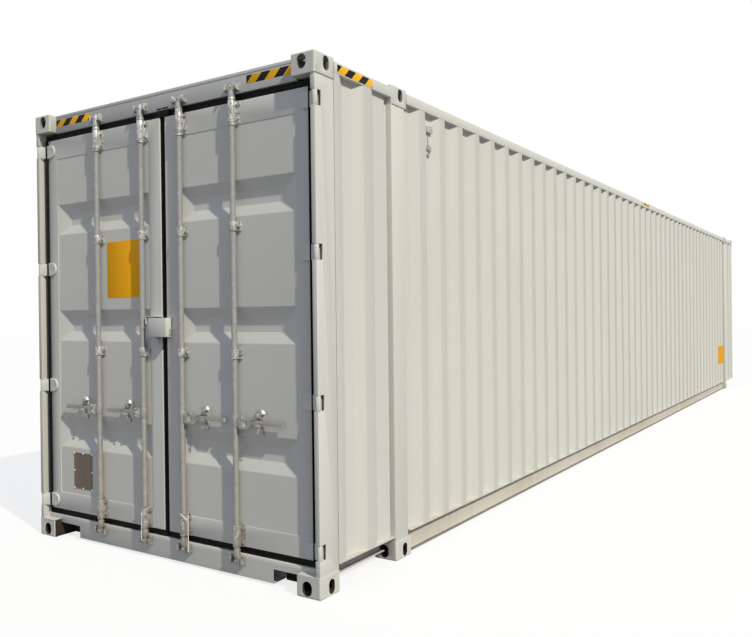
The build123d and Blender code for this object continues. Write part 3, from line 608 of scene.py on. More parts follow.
def looks():
    """Give each look's material name, the function that makes it and what that function is given."""
    c = bpy.context.scene.container_colours
    yellow_black = (c.stripe_yellow, c.stripe_black)
    # A film is given its colour, dust, dust amount, streaks, roughness and relief, and if it has them,
    # its metallic and specular values and its second layer of marks and painted shade
    return {
        "paint": ("Light_grey_paint", film, c.paint, c.dust, 0.10, 0.05, 0.55, 0.35),
        "wall": ("Wall_paint", film, c.wall, c.dust, 0.10, 0.05, 0.8, 0.35, 0.0, 0.08, wall_crest_shade_and_patch),
        "post": ("Post_paint", film, c.post, c.dust, 0.15, 0.15, 0.6, 0.35),
        "rail": ("Rail_paint", film, [v * 0.93 for v in c.rail], (0.30, 0.24, 0.18), 0.25, 0.25, 0.7, 0.4,
                 0.0, 0.3, rail_edge_shadow),
        "header": ("Header_paint", film, c.header, c.dust, 0.10, 0.05, 0.55, 0.35),
        "casting": ("Casting_paint", film, c.casting, c.dust, 0.14, 0.05, 0.5, 1.0),
        "bare casting": ("Bare_casting", film, c.bare, (0.07, 0.05, 0.04), 0.5, 0.3, 0.8, 1.2, 0.0, 0.1),
        "shaded casting": ("Shaded_casting", film, c.shaded, c.dust, 0.3, 0.3, 0.7, 1.2, 0.0, 0.1),
        "orange": ("Orange_sheet", film, c.orange, [v * 0.9 for v in c.orange], 0.3, 0.1, 0.5, 0.1, 0.0, 0.08),
        "plate": ("Plate_brown", film, c.plate, (0.22, 0.17, 0.13), 0.55, 0.7, 0.45, 0.6, 0.3),
        "rivet": ("Rivet_metal", film, (0.75, 0.75, 0.73), c.dust, 0.1, 0.0, 0.35, 0.2, 0.6),
        "seal strap": ("Seal_strap", film, (0.80, 0.80, 0.76), c.dust, 0.15, 0.05, 0.4, 0.1),
        "stripes across": ("Stripes_across", stripes, *yellow_black, "X", 0.1345, -2.115),
        "stripes along": ("Stripes_along", stripes, *yellow_black, "Y", 0.13546, -9.473),
        # Both zinc looks carry a painted reflection of the ground, below 2.3 m and 1.4 m
        "zinc": ("Zinc_coat", zinc, c.zinc_bright, c.zinc_dark, c.zinc_ground_reflection, 2.3, 0.45),
        "new zinc": ("New_zinc", zinc, c.zinc_new, c.zinc_flux, c.zinc_ground_reflection, 1.4, 0.3),
        "rubber": ("Seal_rubber", rubber, c.rubber),
        "plywood": ("Floor_plywood", plywood, c.plywood_light, c.plywood_dark),
    }


def material(look):
    """Return a look's material, made when it is first asked for."""
    name, make, *values = looks()[look]
    if name not in bpy.data.materials:
        _, tree = new_material(name)
        make(tree, add_node(tree, "TexCoord").outputs["Object"], *values)
    return bpy.data.materials[name]


# Properties that a user would change

def metres(name, description, default):
    return FloatProperty(name=name, description=description, default=default, min=0.0, precision=4,
                         subtype="DISTANCE", unit="LENGTH")


def colour(name, description, default):
    return FloatVectorProperty(name=name, description=description, default=default, size=3, min=0.0, max=1.0,
                               subtype="COLOR")


class ContainerSizes(bpy.types.PropertyGroup):
    """Sizes of the finishing work on the container."""

    sheet: metres("Sheet", "Thickness of the pressed wall and door sheets", 0.002)
    wall_bend: metres("Wall bend", "Width of the rounded bends of the side walls", 0.010)
    door_bend: metres("Door bend", "Width of the rounded bends of the door troughs", 0.012)
    casting_round: metres("Casting edge", "Rounding of the cast fittings' outer edges", 0.012)
    casting_rim: metres("Casting hole", "Rounding of the rims of the cast fittings' holes", 0.0035)
    post_round: metres("Post edge", "Rounding of the pressed posts' edges", 0.003)
    rail_round: metres("Rail edge", "Rounding of the rails' edges", 0.004)
    hardware_round: metres("Hardware edge", "Rounding of the small forgings' edges", 0.0015)
    bolt: metres("Bolt", "Width across the flats of the bracket bolts", 0.016)
    stripe_long: metres("Stripe length", "Length of a striped marking sheet", 0.350)


class ContainerColours(bpy.types.PropertyGroup):
    """Colours of the container's finishes."""

    paint: colour("Paint", "Light grey paint on the sheets", (0.60, 0.60, 0.58))
    wall: colour("Side walls", "Paint on the side walls", (0.610, 0.610, 0.588))
    # Painted shade: the left post's colour is darker than the paint for the skylight it misses; its dust and streaks
    # are dirt
    post: colour("Left post", "Paint on the left door post, darkened as painted shade", (0.51, 0.50, 0.475))
    rail: colour("Bottom rails", "Paint on the bottom rails, browned by road dirt", (0.60, 0.565, 0.52))
    # Painted shade: darker and cooler than the door paint, for the lesser sun a down-tilted header face would get
    header: colour("Door header", "Paint on the door header", (0.475, 0.483, 0.49))
    casting: colour("Castings", "Paint on the cast fittings", (0.59, 0.59, 0.57))
    # Painted shade, with bare steel inside the fittings: near black for the lower fittings' hollows, the sill notches
    # and the ventilator holes
    bare: colour("Bare casting", "Bare steel inside the lower fittings, darkened as painted shade", (0.022, 0.019, 0.018))
    # Painted shade for the hollows of the upper fittings
    shaded: colour("Shaded casting", "Painted shade inside the upper fittings", (0.24, 0.23, 0.22))
    dust: colour("Dust", "Dust and wash marks on the paint", (0.47, 0.44, 0.38))
    zinc_new: colour("New zinc", "Bright part of the small forgings", (0.86, 0.86, 0.85))
    zinc_flux: colour("Zinc flux", "Dark flux stains of the small forgings", (0.22, 0.21, 0.20))
    zinc_bright: colour("Zinc", "Bright part of the zinc coat", (0.43, 0.43, 0.425))
    zinc_dark: colour("Dull zinc", "Dull part of the zinc coat", (0.33, 0.33, 0.33))
    # Painted reflection of the brownish ground on the zinc, near the ground
    zinc_ground_reflection: colour("Zinc stain", "Brownish painted reflection of the ground", (0.19, 0.155, 0.125))
    rubber: colour("Rubber", "Door seals", (0.006, 0.006, 0.007))
    plywood_light: colour("Plywood", "Light grain of the floor", (0.40, 0.26, 0.15))
    plywood_dark: colour("Plywood grain", "Dark grain of the floor", (0.22, 0.13, 0.07))
    stripe_yellow: colour("Yellow", "Yellow of the striped sheets", (0.98, 0.51, 0.014))
    stripe_black: colour("Black", "Black of the striped sheets", (0.007, 0.006, 0.007))
    orange: colour("Orange", "Plain orange sheets", (0.99, 0.46, 0.012))
    plate: colour("Plate", "Brown data plate", (0.11, 0.08, 0.065))


class CONTAINER_OT_stage(bpy.types.Operator):
    """Set up the floor, the daylight and the camera"""

    bl_idname = "container.stage"
    bl_label = "Stage"

    def execute(self, context):
        scene = context.scene
        scene.view_settings.view_transform = "Standard"
        self.floor()
        self.sky(scene)

        bpy.ops.object.select_all(action="DESELECT")
        bpy.ops.object.light_add(type="SUN", location=TO_SUN * 20, rotation=TO_SUN.to_track_quat("Z", "Y").to_euler())
        sun = context.active_object
        sun.name = "Sun"
        sun.data.energy = 3.3
        sun.data.color = (1.0, 0.95, 0.78)
        sun.data.angle = math.radians(1.5)

        bpy.ops.object.camera_add(location=CAMERA_PLACE)
        camera = context.active_object
        camera.name = "Camera"
        back = CAMERA_RIGHT.cross(CAMERA_UP)
        turn = Matrix((CAMERA_RIGHT, CAMERA_UP, back)).transposed()
        camera.matrix_world = Matrix.Translation(CAMERA_PLACE) @ turn.to_4x4()
        camera.data.sensor_fit = "HORIZONTAL"
        camera.data.sensor_width = 36
        camera.data.lens = CAMERA_LENS
        camera.data.clip_end = 200
        scene.camera = camera
        return {"FINISHED"}

    def floor(self):
        """Lay a pale floor that shows almost white, but throws back little light."""
        bpy.ops.object.select_all(action="DESELECT")
        bpy.ops.mesh.primitive_plane_add(size=160, location=(0, 0, -0.0005))
        floor = named("Floor")
        ground, tree = new_material("Pale_floor")
        seen = self.seen(tree)
        shader = set_shader(tree, None, Roughness=0.95, Specular=0.0,
                            Colour=mix(tree, seen, (0.23, 0.22, 0.20), (0.86, 0.86, 0.86)))
        glow = add_node(tree, "Emission", {"Color": (1, 1, 1), "Strength": 1.0})
        self.blend(tree, calc(tree, "MULTIPLY", seen, 0.8), shader, glow, "Material Output")
        floor.data.materials.append(ground)

    def sky(self, scene):
        """Light the scene with a blue sky that shows white."""
        scene.world = bpy.data.worlds.new("Daylight")
        scene.world.use_nodes = True
        tree = scene.world.node_tree
        sky = tree.nodes["Background"]
        feed(tree, sky.inputs["Color"], (0.385, 0.430, 0.53))
        white = add_node(tree, "Background", {"Color": (1, 1, 1)})
        self.blend(tree, self.seen(tree), sky, white, "World Output")

    def seen(self, tree):
        """Tell what is seen, straight or by a mirror or glass, from what only lights other surfaces."""
        rays = add_node(tree, "LightPath").outputs
        first = calc(tree, "MAXIMUM", rays["Is Camera Ray"], rays["Is Glossy Ray"])
        return calc(tree, "MAXIMUM", first, rays["Is Transmission Ray"])

    def blend(self, tree, factor, first, second, end):
        """Mix two shaders into a tree's output."""
        both = add_node(tree, "MixShader", {0: factor, 1: first.outputs[0], 2: second.outputs[0]})
        feed(tree, tree.nodes[end].inputs["Surface"], both.outputs[0])


class CONTAINER_OT_castings(bpy.types.Operator):
    """Round the edges of the cast corner fittings"""

    bl_idname = "container.castings"
    bl_label = "Corner fittings"

    def execute(self, context):
        sizes = context.scene.container_sizes
        margin = sizes.casting_round + 0.001
        places = [(0, SIDE - margin), (0, SIDE - FITTING[0] + margin)]
        places += [(1, place) for inner, outer in FITTING_ENDS for place in (outer - margin, inner + margin)]
        planes = [(axis, way * place) for axis, place in places for way in (1, -1)]
        planes += [(2, margin), (2, HEIGHT - margin)]
        for node in ("rear_corner_fittings", "middle_top_fittings", "middle_bottom_fittings", "front_top_fittings"):
            piece = copy_of(node)
            for axis, place in planes:
                cut(piece, axis, place)
            pick(piece, "edges", self.in_rim)
            bpy.ops.mesh.dissolve_limited(angle_limit=math.radians(1), delimit=set())
            object_mode()
            bevel(piece, self.upright, sizes.casting_round, 4)
            bevel(piece, self.outline, sizes.casting_round - 0.002, 4)
            round_edges(piece, sizes.casting_rim, 2, 50)
            for axis, low, high in ((0, -SIDE, SIDE), (1, DOOR_END, -DOOR_END), (2, 0, HEIGHT)):
                flat = [index != axis for index in range(3)]
                squeeze(piece, lambda place, _: place[axis] < low, flat, (low, low, low), "verts")
                squeeze(piece, lambda place, _: place[axis] > high, flat, (high, high, high), "verts")
            smooth(piece, 40)
            fit_out(piece, "box", "casting", node)
            # Painted shade: the hollows and inward faces of the lower fittings are near black, the hollows of the
            # upper ones mid grey
            paint_faces(piece, "bare casting", lambda centre, normal: centre.z < 1 and (
                self.inside(centre) or (centre.x * normal.x < -0.5 and abs(centre.x) < SIDE - 0.160)))
            paint_faces(piece, "shaded casting", lambda centre, _: centre.z > 1 and self.inside(centre))
        return {"FINISHED"}

    def gaps(self, centre):
        """Give the distances from a point to the nearest outer planes of a fitting along X, Y and Z."""
        return (min(abs(SIDE - abs(centre.x)), abs(SIDE - FITTING[0] - abs(centre.x))),
                min(abs(abs(centre.y) - plane) for ends in FITTING_ENDS for plane in ends),
                min(abs(centre.z), abs(HEIGHT - centre.z)))

    def upright(self, centre, direction):
        """Say whether an edge is one of a fitting's upright corners."""
        wide, along, _ = self.gaps(centre)
        return abs(direction.z) > 0.9 and wide < ON_PLANE and along < ON_PLANE

    def outline(self, centre, direction):
        """Say whether an edge goes around a fitting's top or bottom."""
        sizes = bpy.context.scene.container_sizes
        wide, along, up = self.gaps(centre)
        return up < ON_PLANE and abs(direction.z) < 0.1 and (
            min(wide, along) < ON_PLANE or max(wide, along) < sizes.casting_round)

    def in_rim(self, centre, direction):
        """Say whether an edge crosses the strip beside a fitting's outer edges."""
        sizes = bpy.context.scene.container_sizes
        gaps = self.gaps(centre)
        near = sum(gap < sizes.casting_round + 0.0008 for gap in gaps)
        return near > 1 and sum(gap < ON_PLANE for gap in gaps) == 1

    def inside(self, centre):
        """Say whether a face is in the hollow of a fitting, which is bare steel darkened further as painted shade."""
        depth_x = min(SIDE - abs(centre.x), abs(centre.x) - SIDE + FITTING[0])
        depth_y = max(min(abs(centre.y) - inner, outer - abs(centre.y)) for inner, outer in FITTING_ENDS)
        depth_z = min(centre.z, HEIGHT - centre.z)
        return depth_x > SKIN and depth_y > SKIN and SKIN < depth_z < FITTING[2] - SKIN


class CONTAINER_OT_frame(bpy.types.Operator):
    """Round the edges of the posts, rails, sill and headers"""

    bl_idname = "container.frame"
    bl_label = "Posts and rails"

    def execute(self, context):
        sizes = context.scene.container_sizes
        for node in ("right_rear_post", "left_rear_post", "middle_posts", "front_posts"):
            # The left post takes a darker paint, which is painted shade
            soften(node, "post" if node.startswith("left") else "paint", sizes.post_round)
        for node in ("front_header", "front_sill"):
            soften(node, "paint", sizes.rail_round)
        soften("gooseneck_tunnel", "rail", 0.0015)
        self.door_header(sizes.rail_round)
        self.door_sill(sizes.rail_round)
        self.top_rails(sizes.rail_round)
        self.bottom_rails()
        return {"FINISHED"}

    def door_header(self, width):
        """Round the header and fold a thin drip edge along its top."""
        soften("door_header", "header", width)
        (left, face, _), (right, _, _) = HEADER
        edge = start_box("header_drip_edge", (left, face - 0.002, 2.866), (right, face + 0.001, 2.879))
        squeeze(edge, lambda _, normal: normal.y < -0.9, (1, 1, 0.6), (0, face, 2.879))
        fit_out(edge, "box", "header", width=0.0006)

    def door_sill(self, width):
        """Round the sill and close its two notches with a pocket of painted shade."""
        sill = copy_of("door_sill")
        shift(sill, lambda centre, normal: normal.z < -0.9 and 0.84 < abs(centre.x) < 1.06
              and 0.06 < centre.z < 0.09, (0, 0, 0.018))
        fit_out(sill, "box", "paint", "door_sill", width=width)
        # Painted shade on the notches' walls and ceilings
        paint_faces(sill, "bare casting", lambda centre, normal: 0.84 < abs(centre.x) < 1.06
                    and centre.z < 0.098 and (abs(normal.x) > 0.5 or (normal.z < -0.5 and centre.z > 0.05)))
        inner = SILL[1].y
        # Dark plates behind the notches are painted shade for the void below the container
        for side, way in SIDES:
            low, high = across(way, 0.853, 1.058)
            back = plate(f"{side}_notch_back", (low, inner - 0.006, 0.003), (high, inner - 0.002, 0.098), 0.002)
            fit_out(back, "box", "bare casting")

    def top_rails(self, width):
        """Set the rails' outer faces back by the thickness of the sheets that are stuck on them."""
        piece = copy_of("top_rails")
        for _, way in SIDES:
            shift(piece, lambda centre, normal: normal.x * way > 0.9 and centre.x * way > SIDE - 0.002,
                  (-way * 0.0006, 0, 0))
        fit_out(piece, "box", "paint", "top_rails", width=width)

    def bottom_rails(self):
        """Press the side rails' webs in above their foot, set the short rails back and lift their feet."""
        rails = copy_of("bottom_rails")
        foot = 0.022
        cut(rails, 2, foot)
        members = copy_of("cross_members")
        for _, way in SIDES:
            for face, facing, above in ((1.203, 1, foot), (1.198, -1, 0.0)):
                shift(rails, lambda centre, normal: normal.x * way * facing > 0.9 and centre.z > above
                      and abs(centre.x * way - face) < 0.002, (-way * 0.030, 0, 0))
            for face, facing, step in ((1.140, 1, 0.040), (1.135, -1, 0.040), (1.174, 1, 0.042)):
                shift(rails, lambda centre, normal: normal.x * way * facing > 0.9 and centre.y < -6.09
                      and abs(centre.x * way - face) < 0.002, (-way * step, 0, 0))
            for near, far, step in ((1.19, SIDE, 0.030), (1.13, 1.14, 0.040)):
                shift(members, lambda centre, normal: normal.x * way > 0.9 and near < centre.x * way < far,
                      (-way * step, 0, 0))
        shift(rails, lambda centre, normal: abs(normal.z) > 0.9 and centre.z < 0.046 and centre.y < -6.09,
              (0, 0, 0.012))
        low = frame["nodes"]["cross_members"].bound_box[0][2]
        shift(members, lambda centre, normal: abs(normal.z) > 0.9 and centre.z < low + 0.006
              and centre.y < -6.1, (0, 0, max(0.0, 0.060 - low)))
        fit_out(rails, "box", "rail", "bottom_rails", width=0.0015)
        fit_out(members, "box", "rail", "cross_members", width=0.0015)


class CONTAINER_OT_walls(bpy.types.Operator):
    """Bend the side walls and the front wall from sheet"""

    bl_idname = "container.walls"
    bl_label = "Walls"

    def execute(self, context):
        sizes = context.scene.container_sizes
        for side, way in SIDES:
            self.bend(f"{side}_side_wall", Vector((way, 0, 0)), sizes.wall_bend, "wall")
        self.bend("front_wall", Vector((0, 1, 0)), sizes.post_round, "paint")
        return {"FINISHED"}

    def bend(self, node, facing, width, look):
        """Keep the outer skin of a pressed sheet, round its bends and give it back its thickness."""
        piece = copy_of(node, "_sheet")
        pick(piece, "faces", lambda _, normal: normal.dot(facing) < 0.1)
        bpy.ops.mesh.delete(type="FACE")
        object_mode()
        fit_out(thicken(piece, width, 3, 10), "box", look, node)


class CONTAINER_OT_roof(bpy.types.Operator):
    """Press tapered ribs up from flat roof sheets"""

    bl_idname = "container.roof"
    bl_label = "Roof"

    def execute(self, context):
        narrow, wide = SIDE - FITTING[0], ROOF[1].x
        rear, front = DOOR_END + FITTING[1], -DOOR_END - FITTING[1]
        outer, inner = MIDDLE_END, MIDDLE_END - FITTING[1]
        zones = ((ROOF[0].y, rear, narrow), (rear, -outer, wide), (-outer, -inner, narrow), (-inner, inner, wide),
                 (inner, outer, narrow), (outer, front, wide), (front, ROOF[1].y, narrow))
        sheets = [self.press(*zone, zone[2] == wide) for zone in zones]
        fit_out(join("roof_sheets", sheets), "box", "paint", "roof_panel")
        return {"FINISHED"}

    def press(self, start, stop, half, ribbed):
        """Press one rib into a short sheet, repeat it, and draw the last edges out to the sheet's ends."""
        top = ROOF[1].z - RIB_TALL
        count = int((stop - start - RIB_CLEAR) // RIB_PITCH) if ribbed else 0
        if not count:
            sheet = start_sheet("sheet", (0, (start + stop) / 2, top), (2 * half, stop - start, 1))
        else:
            first = (start + stop) / 2 - count * RIB_PITCH / 2
            centre = Vector((0, first + RIB_PITCH / 2, top))
            sheet = start_sheet("sheet", centre, (2 * half, RIB_PITCH, 1))
            foot = RIB_FLAT / 2 + RIB_SLOPE
            long = half - RIB_FROM_RAIL
            for axis, place in ((1, centre.y - foot), (1, centre.y + foot), (0, -long), (0, long)):
                cut(sheet, axis, place)
            press_face(sheet, centre, (0, 0, RIB_TALL), (1 - RIB_END_SLOPE / long, 1 - RIB_SLOPE / foot, 1))
            apply_modifier(sheet, "ARRAY", count=count, use_relative_offset=False, use_constant_offset=True,
                           constant_offset_displace=(0, RIB_PITCH, 0), use_merge_vertices=True)
            for end, to in ((first, start), (first + count * RIB_PITCH, stop)):
                extrude(sheet, "edges", lambda place, direction: abs(place.y - end) < 0.0005
                        and abs(direction.x) > 0.9, (0, to - end, 0))
                object_mode()
            clean(sheet)
        return thicken(sheet, 0.006, 2, 20)


class CONTAINER_OT_floor(bpy.types.Operator):
    """Lay the plywood floor"""

    bl_idname = "container.floor"
    bl_label = "Floor"

    def execute(self, context):
        soften("floor_boards", "plywood", 0.001)
        return {"FINISHED"}


class CONTAINER_OT_doors(bpy.types.Operator):
    """Press the door sheets and frame them"""

    bl_idname = "container.doors"
    bl_label = "Door leaves"

    def execute(self, context):
        sizes = context.scene.container_sizes
        for side, _ in SIDES:
            soften(f"{side}_door_frame", "paint", sizes.post_round)
            self.press_panel(side, sizes)
        return {"FINISHED"}

    def press_panel(self, side, sizes):
        """Cut the outline of each trough into a flat sheet, push it in and narrow its floor."""
        node = f"{side}_door_panel"
        low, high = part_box(node)
        middle = (low + high) / 2
        panel = start_sheet(node + "_sheet", (middle.x, low.y, middle.z), (high.x - low.x, 1, high.z - low.z), True)
        centres = [middle.z + step * TROUGH_PITCH for step in (-1, 0, 1)]
        places = [(2, z + end * TROUGH_TALL / 2) for z in centres for end in (-1, 1)]
        places += [(0, low.x + TROUGH_MARGIN), (0, high.x - TROUGH_MARGIN)]
        for axis, place in places:
            cut(panel, axis, place)
        wide = high.x - low.x - 2 * TROUGH_MARGIN
        depth = high.y - low.y - sizes.sheet
        for z in centres:
            press_face(panel, Vector((middle.x, low.y, z)), (0, depth, 0),
                       (1 - 2 * TROUGH_END / wide, 1, 1 - 2 * TROUGH_SLOPE / TROUGH_TALL))
        fit_out(thicken(panel, sizes.door_bend, 3, 10), f"{side}_door", "paint", node)


class CONTAINER_OT_seals(bpy.types.Operator):
    """Shape the lips of the door seals"""

    bl_idname = "container.seals"
    bl_label = "Door seals"

    def execute(self, context):
        for side, way in SIDES:
            node = f"{side}_door_gasket"
            piece = copy_of(node, "_lips")
            pick(piece, "faces", lambda _, normal: normal.y < -0.9)
            bpy.ops.mesh.inset(thickness=0.007, use_even_offset=True)
            bpy.ops.transform.translate(value=(0, 0.008, 0))
            object_mode()
            fit_out(piece, f"{side}_door", "rubber", node, width=0.0015)
            low, high = across(way, LEAF[1].x + 0.001, LEAF[1].x + 0.0045)
            lip = plate(f"{side}_seal_lip", (low, DOOR_END + 0.033, LEAF[0].z), (high, LEAF_FACE + 0.004, LEAF[1].z),
                        0.001)
            fit_out(lip, f"{side}_door", "rubber")
        return {"FINISHED"}


class CONTAINER_OT_hinges(bpy.types.Operator):
    """Finish the hinge blades, the lock box and the ventilators"""

    bl_idname = "container.hinges"
    bl_label = "Hinges, lock box and ventilators"

    def execute(self, context):
        for side, way in SIDES:
            soften(f"{side}_door_hinges", "paint", 0.002)
            self.rims(side, way)
            self.lock_box(side)
            self.ventilator(side, way)
        soften("ventilators", "paint", 0.002)
        return {"FINISHED"}

    def rims(self, side, way):
        """Raise a rounded rim on each hinge blade."""
        low, high = across(way, 1.073, 1.182)
        rim = start_box("rim", (low, LEAF_FACE - 0.0115, -0.042), (high, LEAF_FACE - 0.0075, 0.042))
        bevel(rim, lambda centre, direction: abs(direction.y) > 0.9 and abs(centre.x) < 1.08, 0.040, 8)
        pick(rim, "faces", lambda _, normal: normal.y < -0.9)
        bpy.ops.mesh.inset(thickness=0.010, use_even_offset=True)
        bpy.ops.transform.resize(value=(1.0, 1.0, 0.72), center_override=(0, 0, 0))
        bpy.ops.transform.translate(value=(0, 0.003, 0))
        object_mode()
        round_edges(rim, 0.0012, 2, 30)
        smooth(rim, 40)
        fit_out(repeat(f"{side}_hinge_rims", rim, [(0, 0, z) for z in HINGES]), f"{side}_door", "paint")
        delete(rim)

    def ventilator(self, side, way):
        """Dot the ventilator's face with small dark domes, painted shade for its holes, and hang the thin rod and the
        small bent tags below it.
        """
        low, high = VENTILATORS
        # Painted shade: the holes are dark domes on the face
        hole = dome((way * high.x, 0, 0), (way, 0, 0), 0.0045, 0.0008)
        spots = [(0, y, z) for y in (low.y + 0.012, (low.y + high.y) / 2, high.y - 0.012)
                 for z in (low.z + 0.010, (low.z + high.z) / 2, high.z - 0.010)]
        fit_out(repeat(f"{side}_ventilator_holes", hole, spots), "box", "bare casting")
        delete(hole)
        back = way * 1.181
        y = DOOR_END + 1.268
        rod = wire(((back + way * 0.004, y, low.z), (back + way * 0.004, y, 2.600)), 0.003)
        near, far = sorted((back, back + way * 0.012))
        tag = plate("tag", (near, y - 0.012, 2.580), (far, y + 0.034, 2.617), 0.004, 0.001)
        turn_about(tag, 20 * way, "X", (back, y + 0.010, 2.598))
        foot = plate("foot", (near, y - 0.014, 2.543), (far, y + 0.014, 2.562), 0.003, 0.001)
        fit_out(join(f"{side}_ventilator_rod", [rod, tag, foot]), "box", "zinc")

    def lock_box(self, side):
        """Draw the right half's open rim across to the left half, with a millimetre of room."""
        piece = copy_of(f"{side}_lock_box")
        if side == "right":
            shift(piece, lambda centre, normal: normal.x < -0.9 and centre.x < 0.006, (-0.007, 0, 0))
        bevel(piece, lambda centre, _: centre.x < -0.01 if side == "left" else centre.x > 0.01, 0.002, 2)
        smooth(piece)
        fit_out(piece, f"{side}_door", "paint", f"{side}_lock_box")


class CONTAINER_OT_gear(bpy.types.Operator):
    """Finish the locking rods, keepers, brackets and handles"""

    bl_idname = "container.gear"
    bl_label = "Locking gear"

    def execute(self, context):
        sizes = context.scene.container_sizes
        self.keepers()
        for side, _ in SIDES:
            soften(f"{side}_rod_brackets", "new zinc", sizes.hardware_round)
            for rod in RODS:
                soften(f"{side}_{rod}_rod", "zinc", sizes.hardware_round)
                soften(f"{side}_{rod}_handle", "zinc", sizes.hardware_round)
        for side, way in SIDES:
            self.bolts(side, way, sizes.bolt)
            for rod, x in RODS.items():
                self.rings(f"{side}_{rod}", way * x)
                self.clamp(f"{side}_{rod}", way, x)
        return {"FINISHED"}

    def keepers(self):
        """Taper the keepers' jaws towards their fronts and round them like castings."""
        piece = copy_of("rod_keepers")
        for middle in KEEPERS:
            squeeze(piece, lambda centre, normal: normal.y < -0.9 and abs(centre.z - middle) < 0.03
                    and centre.y < DOOR_END + 0.025, (1, 1, 0.55), (0, 0, middle))
            squeeze(piece, lambda centre, _: abs(centre.z - middle) < 0.04, (1, 1, 0.86), (0, 0, middle))
        for rod_x in [way * x for _, way in SIDES for x in RODS.values()]:
            for way in (1, -1):
                shift(piece, lambda centre, normal: normal.x * way > 0.9
                      and abs(centre.x - rod_x - way * 0.054) < 0.003, (-way * 0.005, 0, 0))
        fit_out(piece, "box", "new zinc", "rod_keepers", width=0.0045, segments=3, shade=50)

    def bolts(self, side, way, width):
        """Bolt every bracket's flanges to the leaf."""
        places = [(x, low + up) for low in LONG_BRACKETS for x in (-0.0345, 0.0345) for up in (0.026, 0.104)]
        places += [(x, middle) for middle in SHORT_BRACKETS for x in (-0.0325, 0.0325)]
        bolt = hexagon((0, BRACKET_FACE, 0), width)
        moves = [(way * x + off, 0, z) for x in RODS.values() for off, z in places]
        fit_out(repeat(f"{side}_bracket_bolts", bolt, moves), f"{side}_door", "new zinc")
        delete(bolt)

    def rings(self, name, x):
        """Weld thrust rings and end collars on a rod, and a pin head on each cam."""
        top, low = LONG_BRACKETS[1], LONG_BRACKETS[0] + LONG_TALL
        spans = ((top - 0.011, top - 0.0015, 0.0235), (low + 0.0015, low + 0.012, 0.0235),
                 (top + LONG_TALL + 0.0015, top + LONG_TALL + 0.018, 0.0215))
        parts = [ring((x, ROD_Y, a), (x, ROD_Y, b), radius, ROD_RADIUS - 0.0005, 0.002) for a, b, radius in spans]
        parts += [dome((x, ROD_Y - 0.0128, z), OUT, 0.009, 0.005) for z in (SILL[1].z - 0.036, HEADER[0].z + 0.036)]
        fit_out(join(name + "_rod_rings", parts), name + "_rod", "new zinc")

    def clamp(self, name, way, x):
        """Clamp a handle round its rod with two bolts, and cap the handle's end."""
        front = ROD_Y - 0.005
        low, high = across(way, x + 0.020, x + 0.080)
        parts = [plate("jaw", (low, front - 0.006, HANDLE_Z - 0.038), (high, front, HANDLE_Z + 0.030), 0.012, 0.002)]
        parts += [hexagon((way * (x + 0.062), front - 0.006, HANDLE_Z + up), 0.015) for up in (-0.024, 0.019)]
        low, high = across(way, x + 0.338, x + 0.350)
        parts.append(plate("cap", (low, front - 0.002, HANDLE_Z - 0.013), (high, front + 0.012, HANDLE_Z + 0.013),
                           0.003, 0.002))
        fit_out(join(name + "_handle_clamp", parts), name + "_rod", "new zinc")


class CONTAINER_OT_catches(bpy.types.Operator):
    """Model the catches that hold the handles: a back plate, a shelf, a hinged lid with a hook and a loop"""

    bl_idname = "container.catches"
    bl_label = "Handle catches"

    def execute(self, context):
        master = self.catch()
        for side, way in SIDES:
            moves = [(way * (x + CATCH_X), 0, HANDLE_Z) for x in RODS.values()]
            piece = repeat(f"{side}_catches", master, moves)
            fit_out(piece, f"{side}_door", "new zinc", f"{side}_handle_catches")
        delete(master)
        return {"FINISHED"}

    def catch(self):
        """Model one catch round a handle that lies along X through the origin's height."""
        back = LEAF_FACE - 0.004
        reach = ROD_Y - 0.006
        base = plate("back", (-0.020, back, -0.072), (0.026, PANEL_FACE, 0.070), 0.008, 0.001)
        shelf = start_box("shelf", (-0.024, reach, -0.023), (0.024, back, -0.019))
        extrude(shelf, "faces", lambda _, normal: normal.y < -0.9, (0, -0.004, 0))
        object_mode()
        extrude(shelf, "faces", lambda centre, normal: normal.z > 0.9 and centre.y < reach, (0, 0, 0.012))
        object_mode()
        round_edges(shelf, 0.0012, 2, 40)
        lid = start_box("lid", (-0.042, reach - 0.004, 0.028), (0.036, reach, 0.050))
        pick(lid, "faces", lambda _, normal: normal.x > 0.9)
        bpy.ops.mesh.extrude_region_move(TRANSFORM_OT_translate={"value": (0.008, 0.004, 0)})
        bpy.ops.mesh.extrude_region_move(TRANSFORM_OT_translate={"value": (0.006, 0.014, -0.002)})
        object_mode()
        round_edges(lid, 0.0012, 2, 20)
        turn_about(lid, 30, "Y", (0.0, 0.0, 0.040))
        arm = start_box("arm", (0.014, reach - 0.002, 0.024), (0.024, back, 0.066))
        round_edges(arm, 0.004, 3, 40)
        loop = ring((0.010, reach - 0.003, -0.050), (0.010, reach + 0.001, -0.050), 0.013, 0.008, 0.001)
        stud = dome((0.010, back, -0.034), OUT, 0.006, back - reach)
        piece = join("catch", [base, shelf, lid, arm, loop, stud])
        smooth(piece, 35)
        return piece


